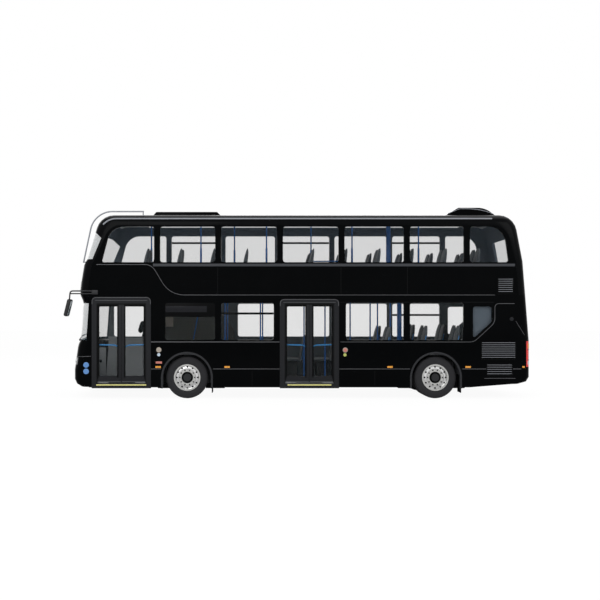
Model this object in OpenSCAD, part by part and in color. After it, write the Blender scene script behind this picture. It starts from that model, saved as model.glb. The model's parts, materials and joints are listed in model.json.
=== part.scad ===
// Double-deck city bus with two pairs of inward-gliding doors, millimetres, +Z up.
// X runs from the front (-X) to the rear (+X), the door side is -Y.
// Lengths along the bus are given from the foremost point of the front.

/* [Body] */
// Width over the side panels
body_width = 2530; // [2490:10:2560]
// Height of the side skirts above the road
skirt_z = 255; // [235:5:275]
// Thickness of the body walls
wall = 60; // [54:1:60]
// Radius where the sides turn into the roof
cant_r = 240; // [220:5:260]
// Radius of the roof across the bus
crown_r = 13300; // [11000:100:16000]
// Radius of the front in plan
front_r = 4200; // [3900:50:5000]
// Radius of the rear in plan
rear_r = 9000; // [7000:100:12000]
// Radius of the corners in plan
corner_r = 200; // [180:5:205]
// Radius of the roof's fall to the front and the rear
dome_r = 400; // [380:5:410]
// Height of the joint between the lower and the upper side panels
band_z = 2330; // [2325:1:2340]

/* [Running gear] */
// Middle of the front doorway to the front axle
door_to_axle = 1472; // [1465:1:1480]
// Distance between the axles
wheelbase = 5580; // [5540:5:5620]
// Rear axle to the rear of the body
rear_overhang = 2200; // [2190:5:2260]
// Radius of the tyres
tyre_r = 470; // [462:1:474]
// Width of a tyre
tyre_w = 275; // [255:1:280]
// Radius of the rim's bead seat
rim_r = 286; // [276:1:290]
// Centre of the outer tyres from the middle of the bus
wheel_y = 1070; // [1060:1:1076]
// Distance between the centres of twin tyres
twin_pitch = 318; // [312:1:322]
// Kingpin inboard of the tyre's centre
kingpin_inset = 70; // [60:1:80]
// Kingpin radius
kingpin_r = 25; // [20:1:30]
// Front spindle radius
spindle_r = 45; // [38:1:50]
// Rear spindle radius
rear_spindle_r = 60; // [50:1:66]
// Clear radius of the wheel arches
arch_r = 540; // [530:1:548]
// Width of the arch trims
arch_trim = 40; // [30:1:45]

/* [Doors] */
// Front corner to the surround of the front doorway
nose_to_door = 211; // [205:1:220]
// Middle of the centre doorway behind the front axle
door2_back = 2745; // [2735:1:2755]
// Half of the clear width between the jambs
door_half = 558; // [552:1:560]
// Width of the door surround
surround_w = 105; // [95:1:106]
// Thickness of a door leaf
leaf_t = 40; // [34:1:40]
// Length of the door arms
arm_l = 275; // [272:1:278]
// Radius of the door posts
post_r = 18; // [14:1:18]
// Radius of the leaf pivots
pivot_r = 8; // [6:0.5:9]

/* [Decks] */
// Height of the lower floor
floor_z = 330; // [320:1:332]
// Height of the raised rear floor
rear_floor_z = 560; // [550:1:580]
// Height of the upper deck
deck_z = 2340; // [2336:1:2350]
// Thickness of the upper deck
deck_t = 110; // [100:1:112]
// Crown of the roof above the upper deck
roof_rise = 1840; // [1830:1:1860]
// Step to the raised floor ahead of the rear axle
step_ahead = 1870; // [1860:1:1880]

/* [Windows] */
// Foot of the lower glass above the lower floor
lower_sill_up = 987; // [980:1:1000]
// Height of the lower glass
lower_glass_h = 829; // [815:1:832]
// Foot of the upper glass above the upper deck
upper_sill_up = 720; // [710:1:735]
// Height of the upper glass
upper_glass_h = 800; // [780:1:805]
// Gap between two panes
pillar_w = 134; // [110:1:160]
// Thickness of the glass
glass_t = 10; // [8:1:12]

/* [Seats] */
// Distance between seat rows
seat_pitch = 750; // [730:1:760]
// Width of a double seat
seat_w = 860; // [800:5:880]
// Radius of the grab poles
pole_r = 17; // [14:1:19]

/* [Hidden] */
$fn = 64;
half = body_width / 2;
inner = half - wall;
seat_gap = 0.3;
seal = 0.8;
fit = 0.05;
front_end = end_depth(front_r, corner_r);
rear_end = end_depth(rear_r, corner_r);
roof_z = deck_z + roof_rise;
lower_sill = floor_z + lower_sill_up;
lower_head = lower_sill + lower_glass_h;
upper_sill = deck_z + upper_sill_up;
upper_head = upper_sill + upper_glass_h;
door1_x = floor(front_end + nose_to_door + surround_w + door_half);
axle_x = [door1_x + door_to_axle, door1_x + door_to_axle + wheelbase];
body_length = axle_x[1] + rear_overhang;
door2_x = axle_x[0] + door2_back;
step_x = axle_x[1] - step_ahead;
pillars_x = [axle_x[0] - 670, axle_x[0] + 700, door2_x - 660, door2_x + 720, axle_x[1] - 650,
             axle_x[1] + 695];
arch_out = arch_r + arch_trim;
leaf_y = half - 12;
pivot_y = leaf_y - leaf_t - 30;
post_dx = door_half + 24;
leaf_lo = floor_z + 42;
leaf_hi = floor_z + 1790;
leaf_edge = post_dx - 37;
head_z = leaf_hi + 32;
rail_z = floor_z + 877;
box_y = 560;
box_hi = 2 * tyre_r + 50;

// Frames and outlines

// Children placed with x counted from the front of the body
module from_front() {
    translate([-body_length / 2, 0, 0]) children();
}

// An outline in x and z made into a plate between y0 and y1
module plate_y(y0, y1) {
    translate([0, y1, 0]) rotate([90, 0, 0]) linear_extrude(height = y1 - y0) children();
}

// An outline in y and z carried from x0 to x1
module plate_x(x0, x1) {
    translate([x0, 0, 0]) rotate([90, 0, 90]) linear_extrude(height = x1 - x0) children();
}

// A block from its low to its high corner
module block(lo, hi) {
    translate(lo) cube(hi - lo);
}

// A rod of radius r from a to b
module rod(a, b, r) {
    v = b - a;
    translate(a)
        rotate([0, acos(v[2] / norm(v)), atan2(v[1], v[0])])
            cylinder(h = norm(v), r = r);
}

function unit(v) = v / norm(v);
function at(p, i) = p[(i + len(p)) % len(p)];
function turn(p, i) = acos(unit(at(p, i - 1) - p[i]) * unit(at(p, i + 1) - p[i])) / 2;
function before(p, r, i) = p[i] + unit(at(p, i - 1) - p[i]) * r[i] / tan(turn(p, i));
function after(p, r, i) = p[i] + unit(at(p, i + 1) - p[i]) * r[i] / tan(turn(p, i));
function hub(p, r, i) =
    p[i] + unit(unit(at(p, i - 1) - p[i]) + unit(at(p, i + 1) - p[i])) * r[i] / sin(turn(p, i));

// A convex outline p with the corner radii r
module rounded(p, r) {
    polygon([for (i = [0:len(p) - 1]) each [before(p, r, i), after(p, r, i)]]);
    for (i = [0:len(p) - 1]) translate(hub(p, r, i)) circle(r = r[i]);
}

// A rounded rectangle between two corners
module pane(lo, hi, r) {
    rounded([lo, [hi[0], lo[1]], hi, [lo[0], hi[1]]], [r, r, r, r]);
}

// The skin of the two ends

// Depth behind the middle of a curve of radius r that ends in corners of radius c
function depth(y, r, c) =
    abs(y) <= r * (half - c) / (r - c)
        ? r - sqrt(r * r - y * y)
        : end_depth(r, c) - sqrt(max(0, c * c - pow(abs(y) - half + c, 2)));
function end_depth(r, c) = r - sqrt(pow(r - c, 2) - pow(half - c, 2));
function drop(y) = depth(y, crown_r, cant_r);
drop_end = end_depth(crown_r, cant_r);
cant_z = roof_z - drop_end;

// Widths at which the skin is worked out, from the middle to the side
arms_y = concat([for (i = [0:4]) i * (half - corner_r) / 5],
                [for (a = [0:15:90]) half - corner_r + corner_r * sin(a)]);
skin_y = concat([for (i = [len(arms_y) - 1:-1:1]) -arms_y[i]], arms_y);
n_y = len(skin_y);

// Side view of the front: distance behind the front and height
front_low = [[150, skirt_z + 10], [45, 330], [0, 430], [0, 640], [18, 760], [40, 920],
             [70, 1140], [92, 1230], [137, lower_sill], [160, lower_sill + 273],
             [181, lower_sill + 613], [197, lower_head], [178, lower_head + 69], [150, band_z - 50]];
front_lean = 16.5;
front_high = [[150, band_z - 50], [128, band_z], [126, deck_z + 75], [150, deck_z + 300],
              [183, deck_z + 500], [211, upper_sill - 50], [238, upper_sill + 10],
              [277, upper_sill + 72], [343, upper_sill + 294], [408, upper_sill + 515],
              [474, upper_sill + 737]];
front_lo = upper_sill + 72;
// Side view of the rear, from the rear
rear_lean = 10;
rear_low = [[230, 330], [60, 380], [0, 480], [0, 712], [0, 1000], [0, 1290], [35, 1750],
            [70, 2200], [80, band_z]];
rear_lo = upper_sill + 20;
rear_high = [[80, band_z], [110, deck_z + 360], [140, rear_lo], [175, rear_lo + 200],
             [210, rear_lo + 400], [245, rear_lo + 600]];

// Points of the fall to the roof after the last point p of a side view
function fall_x(p, lean) =
    p[0] + (roof_z - dome_r + dome_r * sin(lean) - p[1]) * tan(lean) + dome_r * cos(lean);
function fall(p, lean) = [for (i = [0:5]) let (a = lean + (90 - lean) * i / 5)
    [fall_x(p, lean) - dome_r * cos(a), roof_z - dome_r + dome_r * sin(a)]];
function last(p) = p[len(p) - 1];
front_top = concat(front_high, fall(last(front_high), front_lean));
rear_top = concat(rear_high, fall(last(rear_high), rear_lean));
front_joint = last(front_top)[0] + front_end + 150;
rear_joint = last(rear_top)[0] + rear_end + 150;

// Share of the roof's fall to the sides that height z takes
function share(z, lo, lean) =
    min(1, max(0, (z - lo) / (roof_z - dome_r + dome_r * sin(lean) - lo)));
function skin(p, r, lo, lean) =
    [for (q = p) [for (y = skin_y)
        [q[0] + depth(y, r, corner_r), y, q[1] - drop(y) * share(q[1], lo, lean)]]];
function closing(x) = [[for (y = skin_y) [x, y, roof_z - drop(y)]]];
function side_line(p, e, lo, lean) =
    [for (q = p) [q[0] + e, q[1] - drop_end * share(q[1], lo, lean)]];

// Whether row i of skin g is a level edge, where another panel or the open air follows
function is_edge(g, i) = i == 0 || (i == len(g) - 1 && g[i][0][2] < cant_z - 1);
function rise(g, i, j) =
    is_edge(g, i) ? [0, 0, 1] : g[min(i + 1, len(g) - 1)][j] - g[max(i - 1, 0)][j];

// Inward direction of the skin g at row i and column j
function inward(g, i, j) =
    j == 0 ? [0, 1, 0] : j == n_y - 1 ? [0, -1, 0]
    : unit(cross(g[i][j + 1] - g[i][j - 1], rise(g, i, j)));

// Side of an edge on which the kept cells lie: 1 ahead, -1 behind, 0 on both
function ahead(before, after) = before == after ? 0 : after ? 1 : -1;

// Row i and column j of skin g, pulled in by gap along both edges of the kept cells
function pulled(g, i, j, gap, has) =
    let (a = has(i - 1, j - 1), b = has(i - 1, j), c = has(i, j - 1), d = has(i, j),
         u = ahead(a || b, c || d), v = ahead(a || c, b || d))
    g[i][j] + (u == 0 ? [0, 0, 0] : gap * unit(g[i + u][j] - g[i][j]))
            + (v == 0 ? [0, 0, 0] : gap * unit(g[i][j + v] - g[i][j]));

// The cells of skin g that keep(row, column) names, as a plate of thickness t
module skin_plate(g, t, keep, gap = 0) {
    rows = len(g);
    cells = rows - 1;
    has = function (i, j) i >= 0 && j >= 0 && i < cells && j < n_y - 1 && keep(i, j);
    out = [for (i = [0:rows - 1]) for (j = [0:n_y - 1]) pulled(g, i, j, gap, has)];
    in = [for (i = [0:rows - 1]) for (j = [0:n_y - 1]) out[i * n_y + j] + t * inward(g, i, j)];
    n = len(out);
    quads = [for (i = [0:cells - 1]) for (j = [0:n_y - 2]) if (has(i, j))
        let (a = i * n_y + j, b = a + 1, c = b + n_y, d = a + n_y)
        each concat(
            [[a, d, b], [b, d, c], [n + a, n + b, n + d], [n + b, n + c, n + d]],
            has(i - 1, j) ? [] : [[a, b, n + a], [b, n + b, n + a]],
            has(i + 1, j) ? [] : [[c, d, n + c], [d, n + d, n + c]],
            has(i, j - 1) ? [] : [[d, a, n + d], [a, n + a, n + d]],
            has(i, j + 1) ? [] : [[b, c, n + b], [c, n + c, n + b]])];
    polyhedron(points = concat(out, in), faces = quads, convexity = 8);
}

front_low_skin = skin(front_low, front_r, front_lo, front_lean);
front_top_skin = concat(skin(front_top, front_r, front_lo, front_lean), closing(front_joint));
rear_low_skin = skin(rear_low, rear_r, rear_lo, rear_lean);
rear_top_skin = concat(skin(rear_top, rear_r, rear_lo, rear_lean), closing(rear_joint));

// Columns of a skin that lie within y of the middle
function within(j, y) = abs(skin_y[j]) <= y && abs(skin_y[j + 1]) <= y;
screen_y = half - corner_r + corner_r * sin(75) + 1;
rear_screen_y = 4 * (half - corner_r) / 5 + 1;
lamp_in = 3 * (half - corner_r) / 5 - 1;
lamp_out = half - corner_r + corner_r * sin(45) + 1;
tail_in = half - corner_r - 1;
tail_out = half - corner_r + corner_r * sin(60) + 1;
function mid_y(j) = (abs(skin_y[j]) + abs(skin_y[j + 1])) / 2;
low_screen = function (i, j) i >= 8 && i < 11 && within(j, screen_y);
high_screen = function (i, j) i >= 7 && i < 10 && within(j, screen_y);
rear_screen = function (i, j) i >= 2 && i < 5 && within(j, rear_screen_y);
head_lamp = function (i, j) i == 4 && mid_y(j) > lamp_in && mid_y(j) < lamp_out;
tail_lamp = function (i, j) i >= 3 && i < 5 && mid_y(j) > tail_in && mid_y(j) < tail_out;

module front_panel() {
    color("#101113") from_front()
        skin_plate(front_low_skin, wall, function (i, j) !low_screen(i, j) && !head_lamp(i, j));
}

module front_upper_panel() {
    color("#101113") from_front()
        skin_plate(front_top_skin, wall, function (i, j) !high_screen(i, j));
}

// Children turned to look out of the rear
module from_rear() {
    translate([body_length / 2, 0, 0]) rotate([0, 0, 180]) children();
}

module rear_panel() {
    color("#101113") from_rear()
        skin_plate(rear_low_skin, wall, function (i, j) !tail_lamp(i, j));
}

module rear_upper_panel() {
    color("#101113") from_rear()
        skin_plate(rear_top_skin, wall, function (i, j) !rear_screen(i, j));
}

module end_windows() {
    color("#26323a") {
        from_front() {
            skin_plate(front_low_skin, glass_t, low_screen, seal);
            skin_plate(front_top_skin, glass_t, high_screen, seal);
        }
        from_rear() skin_plate(rear_top_skin, glass_t, rear_screen, seal);
    }
}

module head_lamps() {
    color("#dfe6ea") from_front() skin_plate(front_low_skin, wall - 10, head_lamp, seal);
}

module tail_lamps() {
    color("#c01818") from_rear() skin_plate(rear_low_skin, wall - 10, tail_lamp, seal);
}

// Roof

// Section of the roof down to the cant rails
module roof_section() {
    out = [for (y = skin_y) [y, roof_z - drop(y)]];
    n = len(out);
    in = [for (i = [0:n - 1])
        let (d = out[min(i + 1, n - 1)] - out[max(i - 1, 0)])
        out[i] + wall * (i == 0 ? [1, 0] : i == n - 1 ? [-1, 0] : unit([d[1], -d[0]]))];
    polygon(concat(out, [for (i = [n - 1:-1:0]) in[i]]));
}

module roof() {
    color("#101113") from_front()
        plate_x(front_joint + seat_gap, body_length - rear_joint - seat_gap) roof_section();
}

// Room under the roof's outer surface, for what stands on it
module under_roof(x0, x1) {
    plate_x(x0, x1) polygon(concat([for (y = skin_y) [y, roof_z - drop(y)]],
                                   [[half, roof_z - 1200], [-half, roof_z - 1200]]));
}

// Side view of the rear pod, and of the recess g inside it
module rear_pod(g) {
    x = body_length;
    lo = g == 0 ? roof_z - 40 : roof_z + 16;
    intersection() {
        rounded([[x - 1930 + 2 * g, lo], [x - 740 - 2 * g, lo], [x - 990 - g / 2, roof_z + 150 - g],
                 [x - 1600 + g / 2, roof_z + 150 - g]], [5, 5, 500 - g, 60]);
        translate([x - 2000, lo]) square([1400, 300]);
    }
}

module roof_pods() {
    color("#0c0d0e") from_front() difference() {
        union() {
            plate_y(-760, 760)
                rounded([[axle_x[0] - 840, roof_z - 40], [axle_x[0] + 760, roof_z - 40],
                         [axle_x[0] + 650, roof_z + 66], [axle_x[0] - 750, roof_z + 66]], [5, 5, 40, 40]);
            plate_y(-860, 860) rear_pod(0);
        }
        under_roof(1500, body_length - 600);
        for (y = [-861, 835]) plate_y(y, y + 26) rear_pod(38);
    }
}

// Side walls

front_side = front_end + seat_gap;
rear_side = rear_end + seat_gap;
front_edge = concat(side_line(front_low, front_side, front_lo, front_lean),
                    [[front_high[1][0] + front_side, band_z]]);
front_edge_top = side_line([for (q = front_top) if (q[1] >= band_z) q], front_side, front_lo, front_lean);
rear_edge = [for (q = side_line(rear_low, rear_side, rear_lo, rear_lean)) [body_length - q[0], q[1]]];
rear_edge_top = [for (q = side_line(rear_top, rear_side, rear_lo, rear_lean)) [body_length - q[0], q[1]]];
function reverse(p) = [for (i = [len(p) - 1:-1:0]) p[i]];

module lower_wall_outline() {
    polygon(concat([[front_edge[0][0], skirt_z]], front_edge, reverse(rear_edge),
                   [[body_length - 1450, skirt_z]]));
}

module upper_wall_outline() {
    polygon(concat(front_edge_top, reverse(rear_edge_top)));
}

// Wheel opening of radius r from z0 upward
module arch(x, r, z0) {
    intersection() {
        translate([x, tyre_r]) circle(r = r);
        translate([x - 2 * r, tyre_r - 1]) square([4 * r, 2 * r]);
    }
    translate([x - r, z0]) square([2 * r, tyre_r - z0]);
}

module surround_outline(x, top, g) {
    rounded([[x - door_half - surround_w - g, skirt_z - 20],
             [x + door_half + surround_w + g, skirt_z - 20],
             [x + door_half + surround_w + g, top + g],
             [x - door_half - surround_w - g, top + g]], [5, 5, 110 + g, 110 + g]);
}

near_low_panes = [[pillars_x[0] + 180, pillars_x[1] - 70], [pillars_x[1] + 67, pillars_x[2] - 140],
                  [pillars_x[3] + 100, pillars_x[4] - 70], [pillars_x[4] + 70, pillars_x[5] - 75]];
off_low_panes = [[floor(front_end) + 276, door1_x + 342], [pillars_x[1] + 380, pillars_x[2] - 67],
                 [pillars_x[2] + 67, pillars_x[3] - 67],
                 [pillars_x[3] + 67, pillars_x[4] - 67], [pillars_x[4] + 70, pillars_x[5] - 75]];

module quarter_pane(g) {
    x = pillars_x[5] + 135;
    z = lower_head - 78;
    rounded([[x + g, lower_sill + 67 + g], [x + 60 - g, lower_sill + 67 + g],
             [x + 425 - g, lower_sill + 403], [x + 425 - g, z - g], [x + g, z - g]],
            [30, 40, 60, 60, 60]);
}

module lower_panes(list, g) {
    for (p = list) pane([p[0] + g, lower_sill + g], [p[1] - g, lower_head - g], 55);
    quarter_pane(g);
}

module upper_panes(g) {
    n = len(pillars_x);
    x0 = floor(front_end) + 431;
    x1 = body_length - 565;
    rounded([[x0 + g, upper_sill + g], [pillars_x[0] - pillar_w / 2 - g, upper_sill + g],
             [pillars_x[0] - pillar_w / 2 - g, upper_head - g], [x0 + 210 + g, upper_head - g]],
            [40, 60, 60, 380]);
    for (i = [0:n - 2])
        pane([pillars_x[i] + pillar_w / 2 + g, upper_sill + g],
             [pillars_x[i + 1] - pillar_w / 2 - g, upper_head - g], 60);
    rounded([[pillars_x[n - 1] + pillar_w / 2 + g, upper_sill + g], [x1 - g, upper_sill + g],
             [x1 - 115 - g, upper_head - g], [pillars_x[n - 1] + pillar_w / 2 + g, upper_head - g]],
            [60, 60, 380, 60]);
}

vent_x = body_length - 400;
vent_boxes = [[vent_x - 420, band_z + 15, vent_x - 55, band_z + 376],
              [vent_x - 790, 869, vent_x, 1279], [vent_x - 670, 500, vent_x - 75, 780]];
module vents(list, g) {
    for (v = list) pane([v[0] + g, v[1] + g], [v[2] - g, v[3] - g], 20);
}

module nearside_lower_wall() {
    color("#101113") from_front() plate_y(-half, -inner) difference() {
        lower_wall_outline();
        for (x = axle_x) arch(x, arch_out + seat_gap, 0);
        surround_outline(door1_x, band_z - 50, seal);
        surround_outline(door2_x, band_z - 95, seal);
        lower_panes(near_low_panes, 0);
        vents([vent_boxes[1], vent_boxes[2]], 0);
    }
}

module offside_lower_wall() {
    color("#101113") from_front() plate_y(inner, half) difference() {
        lower_wall_outline();
        for (x = axle_x) arch(x, arch_out + seat_gap, 0);
        lower_panes(off_low_panes, 0);
        vents([vent_boxes[1], vent_boxes[2]], 0);
    }
}

module nearside_upper_wall() {
    color("#101113") from_front() plate_y(-half, -inner) difference() {
        upper_wall_outline();
        upper_panes(0);
        vents([vent_boxes[0]], 0);
    }
}

module offside_upper_wall() {
    color("#101113") from_front() plate_y(inner, half) difference() {
        upper_wall_outline();
        upper_panes(0);
        vents([vent_boxes[0]], 0);
    }
}

module side_windows() {
    color("#26323a") from_front() {
        plate_y(-half + 2, -half + 2 + glass_t) {
            upper_panes(seal);
            lower_panes(near_low_panes, seal);
        }
        plate_y(half - 2 - glass_t, half - 2) {
            upper_panes(seal);
            lower_panes(off_low_panes, seal);
        }
    }
}

// A louvred grille of the opening v between y0 and y1
module grille(v, y0, y1) {
    n = floor((v[3] - v[1]) / 50);
    step = (v[3] - v[1] - 36) / n;
    plate_y(y0, y1) difference() {
        pane([v[0] + seat_gap, v[1] + seat_gap], [v[2] - seat_gap, v[3] - seat_gap], 20);
        for (i = [0:n - 1])
            translate([v[0] + 20, v[1] + 20 + i * step]) square([v[2] - v[0] - 40, step - 16]);
    }
}

module vent_grilles() {
    color("#17181a") from_front() for (v = vent_boxes) {
        grille(v, -half + 4, -half + 44);
        grille(v, half - 44, half - 4);
    }
}

module arch_trims() {
    color("#2b2c2e") from_front() for (x = axle_x) for (s = [-1, 1])
        plate_y(s < 0 ? -half - 10 : inner, s < 0 ? -inner : half + 10) difference() {
            arch(x, arch_out, skirt_z - 24);
            arch(x, arch_r, skirt_z - 30);
        }
}

module side_markers() {
    places = [axle_x[0] - 645, axle_x[0] + 900, axle_x[1] - 1030, axle_x[1] + 720];
    color("#e89a20") from_front() for (x = places) for (s = [-1, 1])
        block([x - 60, s < 0 ? -half - 8 : half, 692], [x + 60, s < 0 ? -half : half + 8, 732]);
}

// Door surrounds with the gear case and track over each doorway

module door_surround(x, top) {
    plate_y(-half - 4, -inner) difference() {
        surround_outline(x, top, 0);
        pane([x - door_half, floor_z - 2], [x + door_half, head_z - 2], 40);
    }
    difference() {
        block([x - door_half - 70, -inner - 0.5, head_z], [x + door_half + 70, -inner + 150, head_z + 48]);
        block([x - door_half - 30, -pivot_y - 13, head_z - 1],
              [x + door_half + 30, -pivot_y + 13, head_z + 22]);
    }
}

module door_surrounds() {
    color("#3a3b3e") from_front() {
        door_surround(door1_x, band_z - 50);
        door_surround(door2_x, band_z - 95);
    }
}

// Door on side s of the doorway at x: the post with its two arms
module door_arm(x, s) {
    px = x + s * post_dx;
    lx = px - s * arm_l;
    color("#55585c") from_front() {
        translate([px, -pivot_y, floor_z + seat_gap])
            cylinder(h = head_z - floor_z - 2 * seat_gap, r = post_r);
        for (z = [leaf_lo - 26, leaf_hi + 6]) difference() {
            union() {
                block([min(px, lx), -pivot_y - 12, z], [max(px, lx), -pivot_y + 12, z + 20]);
                translate([lx, -pivot_y, z]) cylinder(h = 20, r = 17);
            }
            translate([lx, -pivot_y, z - 1]) cylinder(h = 22, r = pivot_r + fit);
        }
    }
}

module leaf_outline(x, s, g) {
    pane([x + s * (leaf_edge + 3) / 2 - (leaf_edge - 3) / 2 + 46 + g, leaf_lo + 138 + g],
         [x + s * (leaf_edge + 3) / 2 + (leaf_edge - 3) / 2 - 46 - g, leaf_hi - 54 - g], 25);
}

module door_leaf(x, s) {
    px = x + s * post_dx;
    lx = px - s * arm_l;
    rx = px - s * 2 * arm_l;
    x0 = x + s * (leaf_edge + 3) / 2 - (leaf_edge - 3) / 2;
    x1 = x0 + leaf_edge - 3;
    yi = -leaf_y + leaf_t;
    color("#1a1b1d") from_front() {
        plate_y(-leaf_y, yi) difference() {
            translate([x0, leaf_lo]) square([x1 - x0, leaf_hi - leaf_lo]);
            leaf_outline(x, s, 0);
        }
        block([lx - 14, yi - 1, leaf_lo], [lx + 14, -pivot_y + 14, leaf_lo + 14]);
        translate([lx, -pivot_y, leaf_lo - 26]) cylinder(h = 30, r = pivot_r);
        block([lx - 14, yi - 1, leaf_hi - 14], [lx + 14, -pivot_y + 14, leaf_hi]);
        translate([lx, -pivot_y, leaf_hi - 4]) cylinder(h = 30, r = pivot_r);
        block([rx - 14, yi - 1, leaf_hi - 14], [rx + 14, -pivot_y + 12, leaf_hi]);
        translate([rx, -pivot_y, leaf_hi - 4]) cylinder(h = 52, r = pivot_r);
    }
    outer = [s < 0 ? x0 + 24 : x1 - 24, yi + 45, rail_z];
    tip = [s < 0 ? x1 - 24 : x0 + 24, yi + 45, rail_z - 70];
    bend = [tip[0] + s * 130, yi + 45, rail_z - 8];
    color("#2a86c8") from_front() {
        rod(outer + [s * 16, 0, 0], bend, 15);
        rod(bend + [s * 6, 0, 3], tip - [s * 9, 0, 4], 14);
        for (p = [outer, tip]) rod(p - [0, 46, 0], p, 11);
    }
}

module door_pane(x, s) {
    color("#26323a") from_front() plate_y(-leaf_y + 2, -leaf_y + 2 + glass_t)
        leaf_outline(x, s, seal);
}

module front_door_arm_a() { door_arm(door1_x, -1); }
module front_door_leaf_a() { door_leaf(door1_x, -1); }
module front_door_pane_a() { door_pane(door1_x, -1); }
module front_door_arm_b() { door_arm(door1_x, 1); }
module front_door_leaf_b() { door_leaf(door1_x, 1); }
module front_door_pane_b() { door_pane(door1_x, 1); }
module centre_door_arm_a() { door_arm(door2_x, -1); }
module centre_door_leaf_a() { door_leaf(door2_x, -1); }
module centre_door_pane_a() { door_pane(door2_x, -1); }
module centre_door_arm_b() { door_arm(door2_x, 1); }
module centre_door_leaf_b() { door_leaf(door2_x, 1); }
module centre_door_pane_b() { door_pane(door2_x, 1); }

// Floors

floor_t = 30;
floor_front = 600;
floor_rear = body_length - 520;
nose_y = 1000;
bay = arch_r + 10;
box_t = 10;
box_out = bay + box_t;

// The front of a deck, which follows the front panel at a distance x0
module nose(x0, x1, z0, z1) {
    translate([0, 0, z0]) linear_extrude(height = z1 - z0)
        polygon(concat([for (i = [-5:5]) [x0 + depth(i * nose_y / 5, front_r, corner_r), i * nose_y / 5]],
                       [[x1, nose_y], [x1, -nose_y]]));
}

module floor_panel(x0, x1, y, z) {
    block([x0 + seat_gap, -y, z - floor_t], [x1, y, z]);
}

// The box over the wheels of side s at x, from height z
module wheel_box(x, s, z) {
    difference() {
        block([x - box_out, s < 0 ? -inner : box_y - box_t, z],
              [x + box_out, s < 0 ? -box_y + box_t : inner, box_hi]);
        block([x - bay, s < 0 ? -inner - 1 : box_y, z - 1],
              [x + bay, s < 0 ? -box_y : inner + 1, box_hi - box_t]);
    }
}

// Floor panels ahead of, between and behind the wheel boxes, with a riser between the two levels
module lower_floor() {
    color("#3c3e40") from_front() {
        nose(225, floor_front, floor_z - floor_t, floor_z);
        for (i = [0, 1]) {
            x = axle_x[i];
            z = i == 0 ? floor_z : rear_floor_z;
            floor_panel(i == 0 ? floor_front : step_x, x - box_out - seat_gap, inner, z);
            floor_panel(x - box_out, x + box_out, box_y - box_t - seat_gap, z);
            floor_panel(x + box_out, i == 0 ? step_x - floor_t : floor_rear, inner, z);
            for (s = [-1, 1]) wheel_box(x, s, z - floor_t);
        }
        block([step_x - floor_t + seat_gap, -inner, floor_z - floor_t], [step_x, inner, rear_floor_z]);
    }
}

stair_n = 9;
stair_run = 217;
stair_x = axle_x[0] + 1260;
stair_rise = (deck_z - floor_z) / stair_n;
well = [stair_x - stair_n * stair_run, stair_x - 480];

module upper_deck() {
    color("#4a4c4e") from_front() difference() {
        union() {
            plate_y(-inner, inner)
                translate([560, deck_z - deck_t]) square([body_length - 1040, deck_t]);
            nose(255, 561, deck_z - deck_t, deck_z);
        }
        block([well[0], box_y, deck_z - 200], [well[1], inner + 1, deck_z + 1]);
    }
}

// Edges of the inner stringer round the front wheel box
box_lo_x = axle_x[0] - box_out - seat_gap;
box_hi_x = axle_x[0] + box_out + seat_gap;
box_top = box_hi + seat_gap;

module staircase() {
    color("#5a5d5c") from_front() {
        plate_y(box_y + 20, inner)
            polygon(concat(
                [for (i = [0:stair_n - 2]) each [
                    [stair_x - i * stair_run, floor_z + i * stair_rise],
                    [stair_x - i * stair_run, floor_z + (i + 1) * stair_rise]]],
                [[well[0], floor_z + (stair_n - 1) * stair_rise],
                 [well[0], floor_z + (stair_n - 1) * stair_rise - 30]],
                [for (i = [stair_n - 2:-1:0]) each [
                    [stair_x - i * stair_run - 25, floor_z + (i + 1) * stair_rise - 30],
                    [stair_x - i * stair_run - 25, floor_z + i * stair_rise - (i == 0 ? 0 : 30)]]]));
        plate_y(box_y - box_t, box_y + 20)
            polygon([[well[0], floor_z], [box_lo_x, floor_z], [box_lo_x, box_top], [box_hi_x, box_top],
                     [box_hi_x, floor_z], [stair_x - 250, floor_z], [stair_x - 250, 1500],
                     [stair_x - 800, deck_z - deck_t],
                     [well[0], deck_z - deck_t]]);
    }
}

hinge = [1480, 250];

module driver_cab() {
    color("#6b6e6d") from_front() {
        difference() {
            union() {
                block([1640, 235, floor_z], [1670, inner, deck_z - deck_t]);
                block([660, 265, floor_z], [1641, inner, floor_z + 150]);
                block([660, 235, floor_z], [850, 266, 1345]);
                block([1500, 235, floor_z], [1641, 266, 1345]);
                block([600, 235, floor_z], [661, 1000, 1080]);
                block([420, 300, 900], [661, 960, 1080]);
                block([1466, 235, 1325], [1501, 265, 1345]);
                block([1466, 235, floor_z], [1501, 265, floor_z + 12]);
            }
            translate([hinge[0], hinge[1], floor_z - 1]) cylinder(h = 20, r = 8 + fit);
            translate([hinge[0], hinge[1], 1320]) cylinder(h = 30, r = 8 + fit);
        }
        rod([700, 700, floor_z + 149], [820, 700, 1200], 22);
    }
}

module cab_door() {
    color("#7b7e7d") from_front() {
        block([856, 237, floor_z + 15], [hinge[0], 263, 1320]);
        translate([hinge[0], hinge[1], floor_z + 15]) cylinder(h = 1305 - floor_z, r = 13);
        translate([hinge[0], hinge[1], floor_z + 1]) cylinder(h = 1343 - floor_z, r = 8);
    }
}

rail_y = 480;
rail_w = 40;
rail_h = 60;

// Cross member at x under a floor of height z, with an outrigger on each side
module cross_member(x, z) {
    for (y = [[-1100, -rail_y - rail_w - seat_gap], [-rail_y + rail_w + seat_gap, rail_y - rail_w - seat_gap],
              [rail_y + rail_w + seat_gap, 1100]])
        block([x - 35, y[0], z - floor_t - 55], [x + 35, y[1], z - floor_t]);
}

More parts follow.
